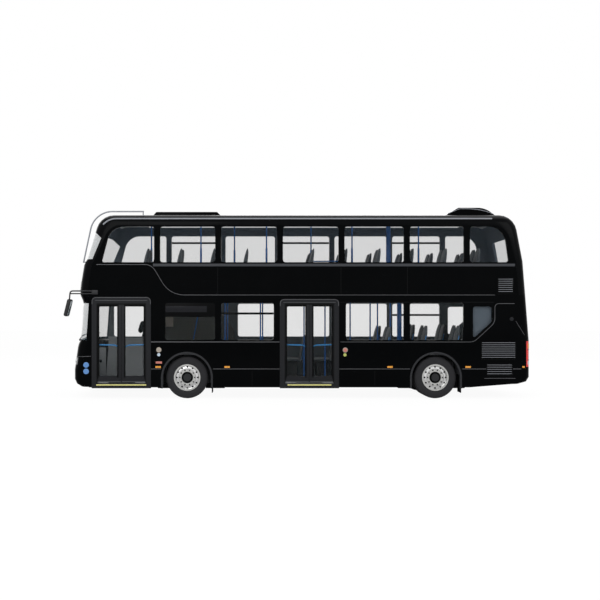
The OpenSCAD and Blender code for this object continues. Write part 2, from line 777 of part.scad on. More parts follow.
module chassis_frame() {
    color("#2a2b2d") from_front() {
        for (y = [-rail_y, rail_y]) {
            block([700, y - rail_w, floor_z - floor_t - rail_h],
                  [step_x + 35, y + rail_w, floor_z - floor_t]);
            block([step_x + 35 + seat_gap, y - rail_w, floor_z - floor_t - rail_h],
                  [step_x + 95, y + rail_w, rear_floor_z - floor_t - rail_h - seat_gap]);
            block([step_x + 35 + seat_gap, y - rail_w, rear_floor_z - floor_t - rail_h],
                  [floor_rear, y + rail_w, rear_floor_z - floor_t]);
        }
        for (x = [740, axle_x[0] - 790, axle_x[0] + 710, axle_x[0] + 1910, step_x - 200])
            cross_member(x, floor_z);
        for (x = [axle_x[1] - 1170, axle_x[1] + 730, floor_rear - 250]) cross_member(x, rear_floor_z);
        difference() {
            block([560, -60, floor_z - 75], [705 - seat_gap, 60, floor_z - 45]);
            translate([610, 0, floor_z - 80]) cylinder(h = 40, r = 20);
        }
    }
}

module battery_pack() {
    color("#3f4346") from_front() block([floor_rear - 390, -1000, rear_floor_z],
                                               [floor_rear - 10, 1000, 1700]);
}

// Running gear

king_y = wheel_y - kingpin_inset;

module front_axle() {
    x = axle_x[0];
    color("#2e3033") from_front() {
        block([x - 45, -620, 160], [x + 45, 620, 230]);
        for (s = [-1, 1]) {
            block([x - 60, s * 480 - 50, 200], [x + 60, s * 480 + 50, floor_z - 90]);
            block([x - 40, s < 0 ? -640 : 580, 160], [x + 40, s < 0 ? -580 : 640, 520]);
            difference() {
                union() {
                    block([x - 40, s < 0 ? -king_y : 600, 420], [x + 40, s < 0 ? -600 : king_y, 520]);
                    translate([x, s * king_y, tyre_r - 70]) cylinder(h = 140, r = 52);
                }
                translate([x, s * king_y, tyre_r - 90]) cylinder(h = 180, r = kingpin_r + fit);
            }
        }
    }
}

// Steering knuckle of side s with the kingpin and the wheel spindle
module knuckle(s) {
    color("#3a3d40") from_front() translate([axle_x[0], s * king_y, tyre_r]) {
        translate([0, 0, -135]) cylinder(h = 270, r = kingpin_r);
        for (z = [-130, 72]) {
            block([-45, s < 0 ? -100 : -45, z], [45, s < 0 ? 45 : 100, z + 58]);
        }
        block([-60, s < 0 ? -100 : 64, -130], [60, s < 0 ? -64 : 100, 130]);
        rotate([s < 0 ? 90 : -90, 0, 0]) translate([0, 0, 90]) cylinder(h = 100, r = spindle_r);
    }
}
module near_knuckle() { knuckle(-1); }
module off_knuckle() { knuckle(1); }

// Children turned so that +Z is the outward axis of a wheel at x, y
module wheel_at(x, s, y) {
    from_front() translate([x, s * y, tyre_r]) rotate([s < 0 ? 90 : -90, 0, 0]) children();
}

module tyre() {
    w = tyre_w / 2;
    rotate_extrude($fn = 96) polygon([[rim_r + seat_gap, -w + 16], [rim_r + 24, -w + 8],
        [rim_r + 80, -w], [rim_r + 110, -w], [tyre_r - 30, -w + 12], [tyre_r - 8, -w + 24],
        [tyre_r, -w + 48], [tyre_r, w - 48], [tyre_r - 8, w - 24], [tyre_r - 30, w - 12],
        [rim_r + 110, w], [rim_r + 80, w], [rim_r + 24, w - 8], [rim_r + seat_gap, w - 16]]);
}

// Rim barrel with its two flanges
module rim() {
    w = tyre_w / 2;
    rotate_extrude($fn = 96) polygon([[rim_r - 20, -w + 2], [rim_r + 12, -w + 2],
        [rim_r + 12, -w + 8], [rim_r, -w + 16], [rim_r, w - 16], [rim_r + 12, w - 8],
        [rim_r + 12, w - 2], [rim_r - 20, w - 2]]);
}

// Wheel disc at height z with hand holes
module disc(z) {
    difference() {
        translate([0, 0, z]) cylinder(h = 16, r = rim_r - 19, $fn = 96);
        for (a = [0:36:324]) rotate([0, 0, a]) translate([208, 0, z - 1]) cylinder(h = 18, r = 27);
    }
}

module front_wheel(s) {
    color("#d5d5d3") wheel_at(axle_x[0], s, wheel_y) difference() {
        union() {
            rim();
            disc(70);
            translate([0, 0, 40]) cylinder(h = 60, r = 130);
            translate([0, 0, 40]) cylinder(h = 95, r = 85);
        }
        translate([0, 0, 0]) cylinder(h = 122, r = spindle_r + fit);
    }
}

module front_tyre(s) {
    color("#1b1b1c") wheel_at(axle_x[0], s, wheel_y) tyre();
}

module rear_wheel(s) {
    color("#d5d5d3") wheel_at(axle_x[1], s, wheel_y) difference() {
        union() {
            rim();
            translate([0, 0, -twin_pitch]) rim();
            disc(70);
            disc(-twin_pitch - 20);
            translate([0, 0, -twin_pitch - 30]) cylinder(h = twin_pitch + 130, r = 130);
            translate([0, 0, 90]) cylinder(h = 45, r = 85);
        }
        translate([0, 0, -twin_pitch - 60]) cylinder(h = twin_pitch + 182, r = rear_spindle_r + fit);
    }
}

module rear_tyres(s) {
    color("#1b1b1c") wheel_at(axle_x[1], s, wheel_y) {
        tyre();
        translate([0, 0, -twin_pitch]) tyre();
    }
}

module near_front_wheel() { front_wheel(-1); }
module near_front_tyre() { front_tyre(-1); }
module off_front_wheel() { front_wheel(1); }
module off_front_tyre() { front_tyre(1); }
module near_rear_wheel() { rear_wheel(-1); }
module near_rear_tyres() { rear_tyres(-1); }
module off_rear_wheel() { rear_wheel(1); }
module off_rear_tyres() { rear_tyres(1); }

module rear_axle() {
    x = axle_x[1];
    in_y = wheel_y - twin_pitch - tyre_w / 2;
    color("#2e3033") from_front() {
        rod([x, -in_y + 30, 330], [x, in_y - 30, 330], 72);
        for (s = [-1, 1]) {
            rod([x, s * 430, 330], [x, s * 430, rear_floor_z - 90], 85);
            block([x - 95, s < 0 ? -in_y + 10 : in_y - 46, 250],
                  [x + 95, s < 0 ? -in_y + 46 : in_y - 10, 565]);
            rod([x, s * (in_y - 20), tyre_r], [x, s * (wheel_y + 110), tyre_r], rear_spindle_r);
        }
    }
}

module steering_wheel() {
    color("#1c1d1e") from_front() translate([820, 700, 1200])
        rotate([0, atan2(120, 1200 - floor_z - 149), 0]) {
            rotate_extrude() translate([215, 0]) circle(r = 15);
            for (a = [90, 210, 330]) rotate([0, 0, a]) block([30, -14, -8], [212, 14, 8]);
            difference() {
                translate([0, 0, -20]) cylinder(h = 50, r = 45);
                translate([0, 0, -21]) cylinder(h = 30, r = 22 + fit);
            }
        }
}

// Seats: back position, middle across the bus, height of the floor, width
side_y = inner - 15 - seat_w / 2;
upper_x = 1650;
upper_n = floor((body_length - upper_x - 1270) / seat_pitch);
upper_rows = concat([for (i = [0:upper_n]) [upper_x + i * seat_pitch, -side_y, deck_z, seat_w]],
                    [for (i = [0:upper_n]) if (i == 0 || upper_x + i * seat_pitch - 440 > well[1] + 200)
                        [upper_x + i * seat_pitch, side_y, deck_z, seat_w]]);
box_rows = [for (x = [-310, 430]) for (s = [-1, 1])
    [axle_x[1] + x, s * side_y, box_hi - 400, seat_w]];
leg_rows = concat([for (x = [-885, -135, 615]) [door2_x + x, side_y, floor_z, seat_w]],
                  [for (x = [-1140, 1070]) for (s = [-1, 1])
                      [axle_x[1] + x, s * side_y, rear_floor_z, seat_w]],
                  [[1340, 700, floor_z + 150, 480]], upper_rows);
rows = concat(leg_rows, box_rows);

module seat_cushions() {
    color("#3a4044") from_front() for (r = rows)
        translate([r[0], r[1], r[2] + 400])
            block([-440, -r[3] / 2, 0], [0, r[3] / 2, 80]);
}

module seat_backs() {
    color("#3a4044") from_front() for (r = rows)
        translate([r[0], r[1], r[2] + 400])
            plate_y(-r[3] / 2, r[3] / 2)
                polygon([[0, 0], [70, 0], [190, 690], [120, 700], [0, 100]]);
}

module seat_frames() {
    color("#2c2f31") from_front() for (r = leg_rows)
        translate([r[0], r[1], r[2]])
            block([-330, -r[3] / 2 + 120, 0], [-60, r[3] / 2 - 120, 400]);
}

// Poles beside the gangway: place along the bus and across it
pole_y = 290;
upper_poles = [[axle_x[0] - 920, -pole_y], [axle_x[0] + 247, -pole_y], [axle_x[0] + 1020, pole_y],
               [door2_x - 953, -pole_y], [door2_x + 133, pole_y], [door2_x + 1063, -pole_y],
               [axle_x[1] - 832, pole_y], [axle_x[1] - 204, -pole_y]];
lower_poles = [[axle_x[0] - 690, -pole_y], [axle_x[0] + 813, -pole_y], [door2_x - 1095, -pole_y],
               [door2_x - 36, pole_y + 20], [door2_x + 474, pole_y + 20], [step_x + 117, pole_y],
               [step_x + 603, pole_y], [axle_x[1] - 870, -pole_y]];

module grab_rails() {
    color("#1f4e8c") from_front() {
        for (p = upper_poles)
            rod([p[0], p[1], deck_z], [p[0], p[1], roof_z - wall - drop(pole_y) - 0.9], pole_r);
        for (p = lower_poles)
            rod([p[0], p[1], p[0] > step_x ? rear_floor_z : floor_z], [p[0], p[1], deck_z - deck_t], pole_r);
    }
}

// Rear-view mirror of side s on its two forward arms
module mirror_arm(s) {
    y = half + 30;
    block([560, s < 0 ? -half - 45 : half, band_z + 5], [700, s < 0 ? -half : half + 45, band_z + 105]);
    rod([600, s * y, band_z + 25], [110, s * y, band_z + 25], 13);
    rod([600, s * y, band_z + 85], [110, s * y, band_z + 85], 13);
    rod([122, s * y, band_z + 85], [122, s * y, band_z - 130], 10);
    translate([95, s * (y + 40), band_z - 290]) rotate([0, 14, 0])
        block([-35, -120, -195], [35, 120, 195]);
}

module mirrors() {
    color("#141517") from_front() {
        mirror_arm(-1);
        mirror_arm(1);
    }
}

guard_y = -(half - corner_r + corner_r * sin(15));

module tree_guard() {
    color("#c4c8cc") from_front() translate([0, guard_y, 0]) {
        rod([341, 0, upper_sill - 4], [505, 0, roof_z - 360], 16);
        rod([345, 0, upper_sill + 10], [238 + depth(guard_y, front_r, corner_r) + 6, 0, upper_sill + 10], 12);
        translate([993, 0, roof_z - 467]) rotate([90, 0, 0])
            rotate_extrude(angle = 77.6, start = 90) translate([500, 0]) circle(r = 16);
        rod([993, 0, roof_z + 33], [1706, 0, roof_z + 33], 16);
        rod([1690, 0, roof_z + 33], [1690, 0, roof_z - drop(guard_y) - 6], 12);
    }
}

chassis_frame();
lower_floor();
upper_deck();
roof();
roof_pods();
nearside_lower_wall();
nearside_upper_wall();
offside_lower_wall();
offside_upper_wall();
front_panel();
front_upper_panel();
rear_panel();
rear_upper_panel();
end_windows();
side_windows();
door_surrounds();
staircase();
driver_cab();
cab_door();
seat_cushions();
seat_backs();
seat_frames();
grab_rails();
arch_trims();
mirrors();
tree_guard();
head_lamps();
tail_lamps();
side_markers();
vent_grilles();
front_axle();
rear_axle();
battery_pack();
steering_wheel();
near_knuckle();
off_knuckle();
near_front_wheel();
near_front_tyre();
off_front_wheel();
off_front_tyre();
near_rear_wheel();
near_rear_tyres();
off_rear_wheel();
off_rear_tyres();
front_door_arm_a();
front_door_leaf_a();
front_door_pane_a();
front_door_arm_b();
front_door_leaf_b();
front_door_pane_b();
centre_door_arm_a();
centre_door_leaf_a();
centre_door_pane_a();
centre_door_arm_b();
centre_door_leaf_b();
centre_door_pane_b();
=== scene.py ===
"""Looks of a black double-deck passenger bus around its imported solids, in metres.

X runs from the front to the rear, the doors are on the -Y side and Z is up.
Places along the bus are given from its foremost point, as on the solids.
"""
import json

import bmesh
import bpy
import numpy as np
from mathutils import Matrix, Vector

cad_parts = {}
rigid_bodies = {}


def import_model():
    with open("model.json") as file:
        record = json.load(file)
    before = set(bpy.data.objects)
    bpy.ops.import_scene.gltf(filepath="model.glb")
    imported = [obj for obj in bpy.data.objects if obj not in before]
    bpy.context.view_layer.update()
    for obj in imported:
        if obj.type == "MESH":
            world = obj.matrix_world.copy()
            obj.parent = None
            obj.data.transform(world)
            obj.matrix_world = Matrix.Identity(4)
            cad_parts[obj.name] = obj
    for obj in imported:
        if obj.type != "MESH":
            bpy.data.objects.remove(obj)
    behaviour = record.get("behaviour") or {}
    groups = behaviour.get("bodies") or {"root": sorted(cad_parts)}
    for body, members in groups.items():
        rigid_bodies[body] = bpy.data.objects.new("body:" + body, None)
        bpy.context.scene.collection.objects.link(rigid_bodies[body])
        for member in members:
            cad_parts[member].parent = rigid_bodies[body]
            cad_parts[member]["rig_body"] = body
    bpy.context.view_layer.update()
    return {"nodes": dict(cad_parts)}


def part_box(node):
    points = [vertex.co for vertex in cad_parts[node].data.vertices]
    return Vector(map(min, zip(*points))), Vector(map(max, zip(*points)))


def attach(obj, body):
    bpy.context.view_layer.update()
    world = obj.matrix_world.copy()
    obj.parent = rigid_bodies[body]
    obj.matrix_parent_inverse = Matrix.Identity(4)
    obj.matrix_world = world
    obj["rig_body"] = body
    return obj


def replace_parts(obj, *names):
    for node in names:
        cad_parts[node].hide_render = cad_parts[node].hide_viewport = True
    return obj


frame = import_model()
scene = bpy.context.scene

# Main places of the body, read from the solids
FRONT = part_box("front_panel")[0].x
HALF = -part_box("nearside_upper_wall")[0].y
INNER = -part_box("nearside_upper_wall")[1].y
DECK_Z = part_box("upper_deck")[1].z
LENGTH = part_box("rear_panel")[1].x - FRONT
SALOON_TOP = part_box("upper_deck")[0].z
# Floors, wheels and doorways, as on the solids
FLOOR_Z = 0.330
REAR_FLOOR_Z = 0.560
AXLES = [2.690, 8.270]
TYRE_R = 0.470
TYRE_HALF_W = 0.1375
RIM_R = 0.286
WHEEL_Y = 1.070
TWIN_PITCH = 0.318
HUB_R = 0.131
# Radius of a wheel trim, and how far its face stands out from the wheel's middle
TRIM_R = 0.2655
TRIM_FACE = 0.104
# Body, place along the bus and side of each wheel
WHEELS = [(f"{side}_{end}_wheel", x, s) for end, x in zip(("front", "rear"), AXLES)
          for side, s in (("near", -1), ("off", 1))]
DOORS = {"front": 1.218, "centre": 5.435}
DOOR_HALF = 0.558
LEAF_Y = HALF - 0.012
LEAF_T = 0.040
LEAF_LO = FLOOR_Z + 0.042
RAIL_Z = FLOOR_Z + 0.877
HEAD_Z = FLOOR_Z + 1.820
GLASS_IN = HALF - 0.012
# Heights of the cant strips, the lines under the lower windows and along the skirts, and a seat's cushion
STRIP_Z = 4.045
SILL_Z = 1.272
SKIRT_Z = 0.667
SEAT_H = 0.40
# Distances of the gangway poles and of the driver from the middle
POLE_Y = 0.290
DRIVER_Y = 0.700
# Corner radius, plan radius and side view (height, distance in) of the two ends, as on the solids
CORNER_R = 0.200
FRONT_R = 4.2
FRONT_LINE = [(0.265, 0.150), (0.330, 0.045), (0.430, 0.0), (0.640, 0.0), (0.760, 0.018), (0.920, 0.040),
              (1.140, 0.070), (1.230, 0.092), (1.317, 0.137), (2.146, 0.197), (2.280, 0.150), (2.330, 0.128),
              (2.415, 0.126), (2.640, 0.150), (2.840, 0.183), (3.010, 0.211), (3.070, 0.238)]
REAR_R = 9.0
REAR_LINE = [(0.330, 0.230), (0.380, 0.060), (0.480, 0.0), (1.290, 0.0), (1.750, 0.035), (2.330, 0.080),
             (2.700, 0.110), (3.080, 0.140)]
# Upper grab poles: place along the bus and side
UPPER_POLES = [(1.770, -1), (2.937, -1), (3.710, 1), (4.482, -1), (5.568, 1), (6.498, -1), (7.438, 1),
               (8.066, -1)]
# Openings of the vents: low x and z, high x and z
VENTS = [(9.650, 2.345, 10.015, 2.706), (9.280, 0.869, 10.070, 1.279), (9.400, 0.500, 9.995, 0.780)]
# Bars of the opening windows: side, from and to along the bus, height
HOPPERS = [(-1, 3.460, 4.632, 1.911), (1, 7.694, 8.886, 1.862), (1, 2.092, 3.318, 3.690),
           (1, 4.847, 6.083, 3.690), (1, 7.692, 8.893, 3.690)]
# Place of the mirror heads along the bus
MIRROR_X = 0.045


# Meshes

def along(x):
    """Frame x of a place that is given from the front of the bus."""
    return FRONT + x


def xyz(x, y, z):
    """Points of three coordinates, each a number or an array."""
    return np.stack(np.broadcast_arrays(x, y, z), -1)


def ring_faces(rings, sides, closed=True):
    """Quads between neighbouring rings of a grid whose points run ring by ring."""
    last = sides if closed else sides - 1
    i, j = np.meshgrid(np.arange(rings - 1), np.arange(last), indexing="ij")
    k = (j + 1) % sides
    quads = np.stack([i * sides + j, i * sides + k, (i + 1) * sides + k, (i + 1) * sides + j], -1)
    return quads.reshape(-1, 4).tolist()


def capped(rings, sides):
    """Faces of a run of closed rings: the quads between them and a cap at each end."""
    last = (rings - 1) * sides
    return ring_faces(rings, sides) + [list(range(sides)), list(range(last, last + sides))]


def carry(profile, path, up):
    """A profile carried along a path. A ring is the path's point plus the profile's first coordinate
    along tangent x up and its second along the direction square to both; both ends are closed."""
    path = np.asarray(path, float)
    profile = np.asarray(profile, float)
    tangent = np.gradient(path, axis=0)
    tangent /= np.linalg.norm(tangent, axis=1, keepdims=True)
    side = np.cross(tangent, up)
    side /= np.linalg.norm(side, axis=1, keepdims=True)
    rise = np.cross(side, tangent)
    verts = path[:, None] + profile[None, :, :1] * side[:, None] + profile[None, :, 1:] * rise[:, None]
    return verts.reshape(-1, 3), capped(len(path), len(profile))


def circle(radius, sides=12):
    """Points of a circle."""
    a = np.linspace(0, 2 * np.pi, sides, endpoint=False)
    return radius * np.stack([np.cos(a), np.sin(a)], -1)


def half_round(half_w, rise, power=1.0, sink=0.0):
    """A flat D profile, sunk a little: the cosine times half_w and a power of the sine times rise, over half
    a turn."""
    a = np.linspace(0, np.pi, 7)
    return np.stack([half_w * np.cos(a), rise * np.sin(a) ** power - sink], -1)


def rounded_path(points, radius, steps=6):
    """A path through points whose corners are quadratic curves that start and end a radius away; radius is
    one value or one for each corner."""
    points = np.asarray(points, float)
    out = [points[:1]]
    t = np.linspace(0, 1, steps)[:, None]
    radii = np.broadcast_to(radius, len(points) - 2)
    for before, corner, after, r in zip(points[:-2], points[1:-1], points[2:], radii):
        a = corner + r * (before - corner) / np.linalg.norm(before - corner)
        b = corner + r * (after - corner) / np.linalg.norm(after - corner)
        out.append((1 - t) ** 2 * a + 2 * t * (1 - t) * corner + t ** 2 * b)
    out.append(points[-1:])
    return np.concatenate(out)


def rounded_block(lo, hi, r, steps=3):
    """A block with round edges: each point is a corner's centre plus r times a direction of that octant."""
    lo, hi = np.asarray(lo, float), np.asarray(hi, float)
    centre, core = (lo + hi) / 2, (hi - lo) / 2 - r
    quarter = np.linspace(0, np.pi / 2, steps + 1)
    turn = np.concatenate([quarter + q * np.pi / 2 for q in range(4)])
    turn_x = np.repeat([1, -1, -1, 1], steps + 1)
    turn_y = np.repeat([1, 1, -1, -1], steps + 1)
    rise = np.concatenate([quarter - np.pi / 2, quarter])
    rise_z = np.repeat([-1, 1], steps + 1)
    a, b = np.meshgrid(rise, turn, indexing="ij")
    way = xyz(np.cos(a) * np.cos(b), np.cos(a) * np.sin(b), np.sin(a))
    sign = xyz(turn_x[None], turn_y[None], rise_z[:, None])
    verts = centre + sign * core + r * way
    n = len(turn)
    corners = [q * (steps + 1) for q in range(4)]
    top = (len(rise) - 1) * n
    caps = [corners, [top + c for c in corners]]
    return verts.reshape(-1, 3), ring_faces(len(rise), n) + caps


def block(x, y, z, r, steps=3):
    """A round-edged block between two places along the bus, two widths and two heights, in either order."""
    lo, hi = np.sort([x, y, z], axis=1).T + [FRONT, 0, 0]
    return rounded_block(lo, hi, r, steps)


def lathe(profile, centre, out, sides=48):
    """A profile of (radius, distance along the axle) turned about the Y axis through centre; out is the
    sign of the outward direction."""
    profile = np.asarray(profile, float)
    ring = np.insert(circle(1.0, sides), 1, 0, axis=1)
    way = np.array([0, out, 0])
    verts = np.asarray(centre) + profile[:, 0, None, None] * ring + way * profile[:, 1, None, None]
    return verts.reshape(-1, 3), ring_faces(len(profile), sides)


def joined(parts):
    """Several (points, faces) as one."""
    verts, faces, start = [], [], 0
    for v, f in parts:
        verts.append(v)
        faces += [[start + i for i in face] for face in f]
        start += len(v)
    return np.concatenate(verts), faces


def tube(points, r, up, bend=0.0, sides=12):
    """A round tube of radius r along points whose first coordinates are places along the bus; its corners
    start to bend that far away."""
    path = np.array(points, float) + [FRONT, 0, 0]
    return carry(circle(r, sides), rounded_path(path, bend) if bend else path, up)


def slab(outer, offset):
    """A closed sheet: a grid of points, the same grid moved by offset, and the four edges between."""
    rows, cols = outer.shape[:2]
    verts = np.concatenate([outer.reshape(-1, 3), (outer + np.asarray(offset)).reshape(-1, 3)])
    face = ring_faces(rows, cols, False)
    n = rows * cols
    index = np.arange(n).reshape(rows, cols)
    rim = np.concatenate([index[0, :-1], index[:-1, -1], index[-1, :0:-1], index[:0:-1, 0]])
    after = np.roll(rim, -1)
    edge = np.stack([rim, after, after + n, rim + n], -1).tolist()
    return verts, face + [[n + i for i in f[::-1]] for f in face] + edge


def bow(y, r):
    """Depth behind the middle of an end of plan radius r whose corners are arcs of CORNER_R."""
    y = np.abs(y)
    end = r - np.sqrt((r - CORNER_R) ** 2 - (HALF - CORNER_R) ** 2)
    arc = end - np.sqrt(np.clip(CORNER_R ** 2 - (y - HALF + CORNER_R) ** 2, 0, None))
    return np.where(y <= r * (HALF - CORNER_R) / (r - CORNER_R), r - np.sqrt(r * r - y * y), arc)


def front_skin(y, z, lift=0.0):
    """Points of the front at widths y and heights z: side view plus bow, lifted forward."""
    z_line, x_line = zip(*FRONT_LINE)
    x = np.interp(z, z_line, x_line) + bow(y, FRONT_R) - lift
    return xyz(along(x), y, z)


def rear_skin(y, z, lift=0.0):
    """Points of the rear at widths y and heights z: side view plus bow, lifted backward."""
    z_line, x_line = zip(*REAR_LINE)
    x = LENGTH - np.interp(z, z_line, x_line) - bow(y, REAR_R) + lift
    return xyz(along(x), y, z)


def end_plate(skin, y0, y1, z0, z1, proud, sink=0.004):
    """A plate on the skin of an end between two widths and two heights, standing proud of it."""
    y, z = np.meshgrid(np.linspace(*sorted((y0, y1)), 17), np.linspace(z0, z1, 7), indexing="ij")
    outer = skin(y, z, proud)
    way = np.sign(skin(0.0, 1.0, 1.0)[0] - skin(0.0, 1.0)[0])
    return slab(outer, [-way * (proud + sink), 0, 0])


def stood(name, data):
    """A new object of that data in the scene."""
    obj = bpy.data.objects.new(name, data)
    scene.collection.objects.link(obj)
    return obj


def finished(name, mesh, body, angle):
    """The object of a mesh that is smooth below angle degrees."""
    mesh.shade_smooth()
    mesh.set_sharp_from_angle(angle=np.radians(angle))
    obj = stood(name, mesh)
    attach(obj, body)
    return obj


def piece(name, shape, material, body="body", angle=35.0):
    """An object of (points, faces), or of a list of them, with doubles merged and faces outward."""
    verts, faces = joined(shape) if isinstance(shape, list) else shape
    mesh = bpy.data.meshes.new(name)
    mesh.from_pydata(np.asarray(verts).tolist(), [], faces)
    work = bmesh.new()
    work.from_mesh(mesh)
    bmesh.ops.remove_doubles(work, verts=work.verts, dist=1e-5)
    bmesh.ops.dissolve_degenerate(work, edges=work.edges, dist=1e-6)
    bmesh.ops.recalc_face_normals(work, faces=work.faces)
    work.to_mesh(mesh)
    work.free()
    mesh.materials.append(material)
    return finished(name, mesh, body, angle)


def dressed(node, materials, pick=None, angle=35.0):
    """A merged copy of a CAD node that takes its place; pick(middles, normals) gives each face the number of
    its material."""
    source = frame["nodes"][node]
    mesh = source.data.copy()
    for name in [a.name for a in mesh.attributes if a.name == "custom_normal"]:
        mesh.attributes.remove(mesh.attributes[name])
    work = bmesh.new()
    work.from_mesh(mesh)
    bmesh.ops.remove_doubles(work, verts=work.verts, dist=5e-5)
    work.to_mesh(mesh)
    work.free()
    mesh.materials.clear()
    for material in materials:
        mesh.materials.append(material)
    if pick:
        middles = np.empty(3 * len(mesh.polygons))
        normals = np.empty(3 * len(mesh.polygons))
        mesh.polygons.foreach_get("center", middles)
        mesh.polygons.foreach_get("normal", normals)
        index = pick(middles.reshape(-1, 3), normals.reshape(-1, 3))
        mesh.polygons.foreach_set("material_index", np.asarray(index, np.int32))
    obj = finished(node + "_finish", mesh, source["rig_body"], angle)
    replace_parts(obj, node)


# Materials

def linear(colour):
    """An sRGB hex colour as linear RGBA."""
    rgb = np.array([int(colour[i:i + 2], 16) for i in (1, 3, 5)]) / 255
    low = rgb / 12.92
    high = ((rgb + 0.055) / 1.055) ** 2.4
    return (*np.where(rgb <= 0.04045, low, high).tolist(), 1.0)


def feed(material, node, inputs):
    """Sets inputs of a shader node: each is a value, or a socket to link."""
    for name, value in inputs.items():
        if isinstance(value, bpy.types.NodeSocket):
            material.node_tree.links.new(value, node.inputs[name])
        else:
            node.inputs[name].default_value = value


def add(material, kind, inputs, socket=0, **settings):
    """Adds a shader node of that kind with its settings and inputs, and gives one of its outputs."""
    made = material.node_tree.nodes.new("ShaderNode" + kind)
    for name, value in settings.items():
        setattr(made, name, value)
    feed(material, made, inputs)
    return made.outputs[socket]


def set_shader(material, inputs):
    """Sets inputs of a material's own shader."""
    feed(material, material.node_tree.nodes["Principled BSDF"], inputs)


def surface(name, colour, rough, **inputs):
    """A material with the plain values of its shader set."""
    material = bpy.data.materials.new(name)
    material.use_nodes = True
    set_shader(material, {"Base Color": linear(colour), "Roughness": rough})
    set_shader(material, {key.replace("_", " "): value for key, value in inputs.items()})
    return material


def coat(name, colours, rough, size, relief, spread=None, stretch=(1, 1, 1), **inputs):
    """A material with clouds of that size in metres: they shade its colour from the second to the third of
    colours, its roughness over the range spread, and raise it by relief metres. The first colour and rough
    are its plain values."""
    plain, dark, light = colours.split()
    material = surface(name, plain, rough, **inputs)
    where = add(material, "TexCoord", {}, "Object")
    place = add(material, "Mapping", {"Vector": where, "Scale": stretch})
    cloud = add(material, "TexNoise", {"Vector": place, "Scale": 1 / size, "Detail": 3.0})
    tone = add(material, "Mix", {0: cloud, 6: linear(dark), 7: linear(light)}, 2, data_type="RGBA")
    set_shader(material, {"Base Color": tone})
    if spread:
        level = add(material, "MapRange", {0: cloud, 3: spread[0], 4: spread[1]})
        set_shader(material, {"Roughness": level})
    if relief:
        bump = add(material, "Bump", {"Height": cloud, "Distance": relief, "Strength": 1.0})
        set_shader(material, {"Normal": bump})
    return material


def fade(material, dull, shine, height):
    """Fades the colour to dull, a paler colour that is painted sheen, and the specular level over the range
    shine, in 40 mm about a height.
    """
    shader = material.node_tree.nodes["Principled BSDF"]
    z = add(material, "SeparateXYZ", {0: add(material, "TexCoord", {}, "Object")}, 2)
    share = add(material, "MapRange", {0: z, 1: height - 0.02, 2: height + 0.02})
    level = add(material, "MapRange", {0: share, 3: shine[0], 4: shine[1]})
    tone = shader.inputs["Base Color"].links[0].from_socket
    mixed = add(material, "Mix", {0: share, 6: tone, 7: linear(dull)}, 2, data_type="RGBA")
    set_shader(material, {"Base Color": mixed, "Specular IOR Level": level})


# Two-pack enamel on sheet aluminium: deep black gloss with a faint ripple, drawn coarse to show
PAINT = coat("gloss_black_enamel", "#050607 #040506 #070809", 0.1, 0.35, 0.0002, (0.08, 0.13),
             Specular_IOR_Level=0.02)
# The same enamel on the roof and domes; above the cant strips its colour turns a paler grey, a painted
# reflection of the sky, and its specular level rises
SHEEN_ROOF_PAINT = coat("black_enamel_painted_sheen", "#08090b #060708 #0a0b0d", 0.2, 0.35, 0.0004, (0.14, 0.24))
# The paler grey above the cant strips is painted sheen, not a colour of the enamel
fade(SHEEN_ROOF_PAINT, "#17181a", (0.03, 0.13), STRIP_Z)
# Gloss black stoving enamel of the door frames
LEAF_BLACK = coat("black_stoving_enamel", "#0b0c0d #090a0b #0e0f10", 0.3, 0.05, 0.0001, (0.26, 0.36),
                  Specular_IOR_Level=0.04)
# Powder-coated steel: satin charcoal with fine orange peel
SATIN = coat("satin_powder_coat", "#1e1f22 #1b1c1f #232427", 0.38, 0.012, 0.0002, (0.34, 0.44),
             Specular_IOR_Level=0.12)
# Pressed steel waist rail: satin dark grey
WAIST = coat("satin_waist_rail", "#3e4044 #3a3c40 #434549", 0.4, 0.02, 0.0001, (0.36, 0.46), (0.05, 1, 1),
             Specular_IOR_Level=0.12)
# Anodised aluminium moulding: soft grey gleam with drawing lines along its length
STRIP = coat("anodised_moulding", "#4c4d50 #424346 #56575a", 0.34, 0.02, 0.0001, (0.30, 0.42), (0.05, 1, 1),
             Metallic=0.4)
# Bright anodised moulding: pale grey, brushed along its length
BRIGHT = coat("bright_anodised_moulding", "#8e9197 #868990 #96999f", 0.35, 0.02, 0.0, (0.32, 0.40),
              (0.05, 1, 1), Metallic=0.2, Specular_IOR_Level=0.2)
# EPDM rubber: dull black with a slight bloom
RUBBER = coat("epdm_rubber", "#121315 #0e0f10 #1a1b1d", 0.6, 0.05, 0.0002, (0.52, 0.68),
              Specular_IOR_Level=0.1)
# Extruded arch rubber: dark grey, worn a little paler
ARCH_RUBBER = coat("arch_rubber", "#292a2d #252629 #2f3033", 0.55, 0.06, 0.0002, (0.48, 0.62),
                   Specular_IOR_Level=0.2)
# Moulded ABS: dark grey with a leather-like grain
PLASTIC = coat("moulded_abs", "#17181a #141517 #1d1e21", 0.45, 0.006, 0.0003, (0.40, 0.52),
               Specular_IOR_Level=0.35)
# Tinted safety glass: thin sheets, grey-green below, bluer and a little darker upstairs
LOWER_GLASS = surface("lower_tinted_glass", "#2a3234", 0.02, Alpha=0.075, Specular_IOR_Level=0.4)
UPPER_GLASS = surface("upper_tinted_glass", "#28323a", 0.02, Alpha=0.105, Specular_IOR_Level=0.4)
# Laminated windscreen glass: thicker and bluer
SCREEN_GLASS = surface("laminated_screen", "#4a5e66", 0.02, Alpha=0.17, Specular_IOR_Level=0.4)
# Melamine laminate lining: mid grey with a mottled print
LINING = coat("melamine_lining", "#687074 #61696d #70787c", 0.5, 0.03, 0.0001)
# Moulded cove and upper linings: matt blue-grey
COVE = coat("dark_cove", "#56606a #505a64 #5d6771", 0.6, 0.03, 0.0001, Specular_IOR_Level=0.2)
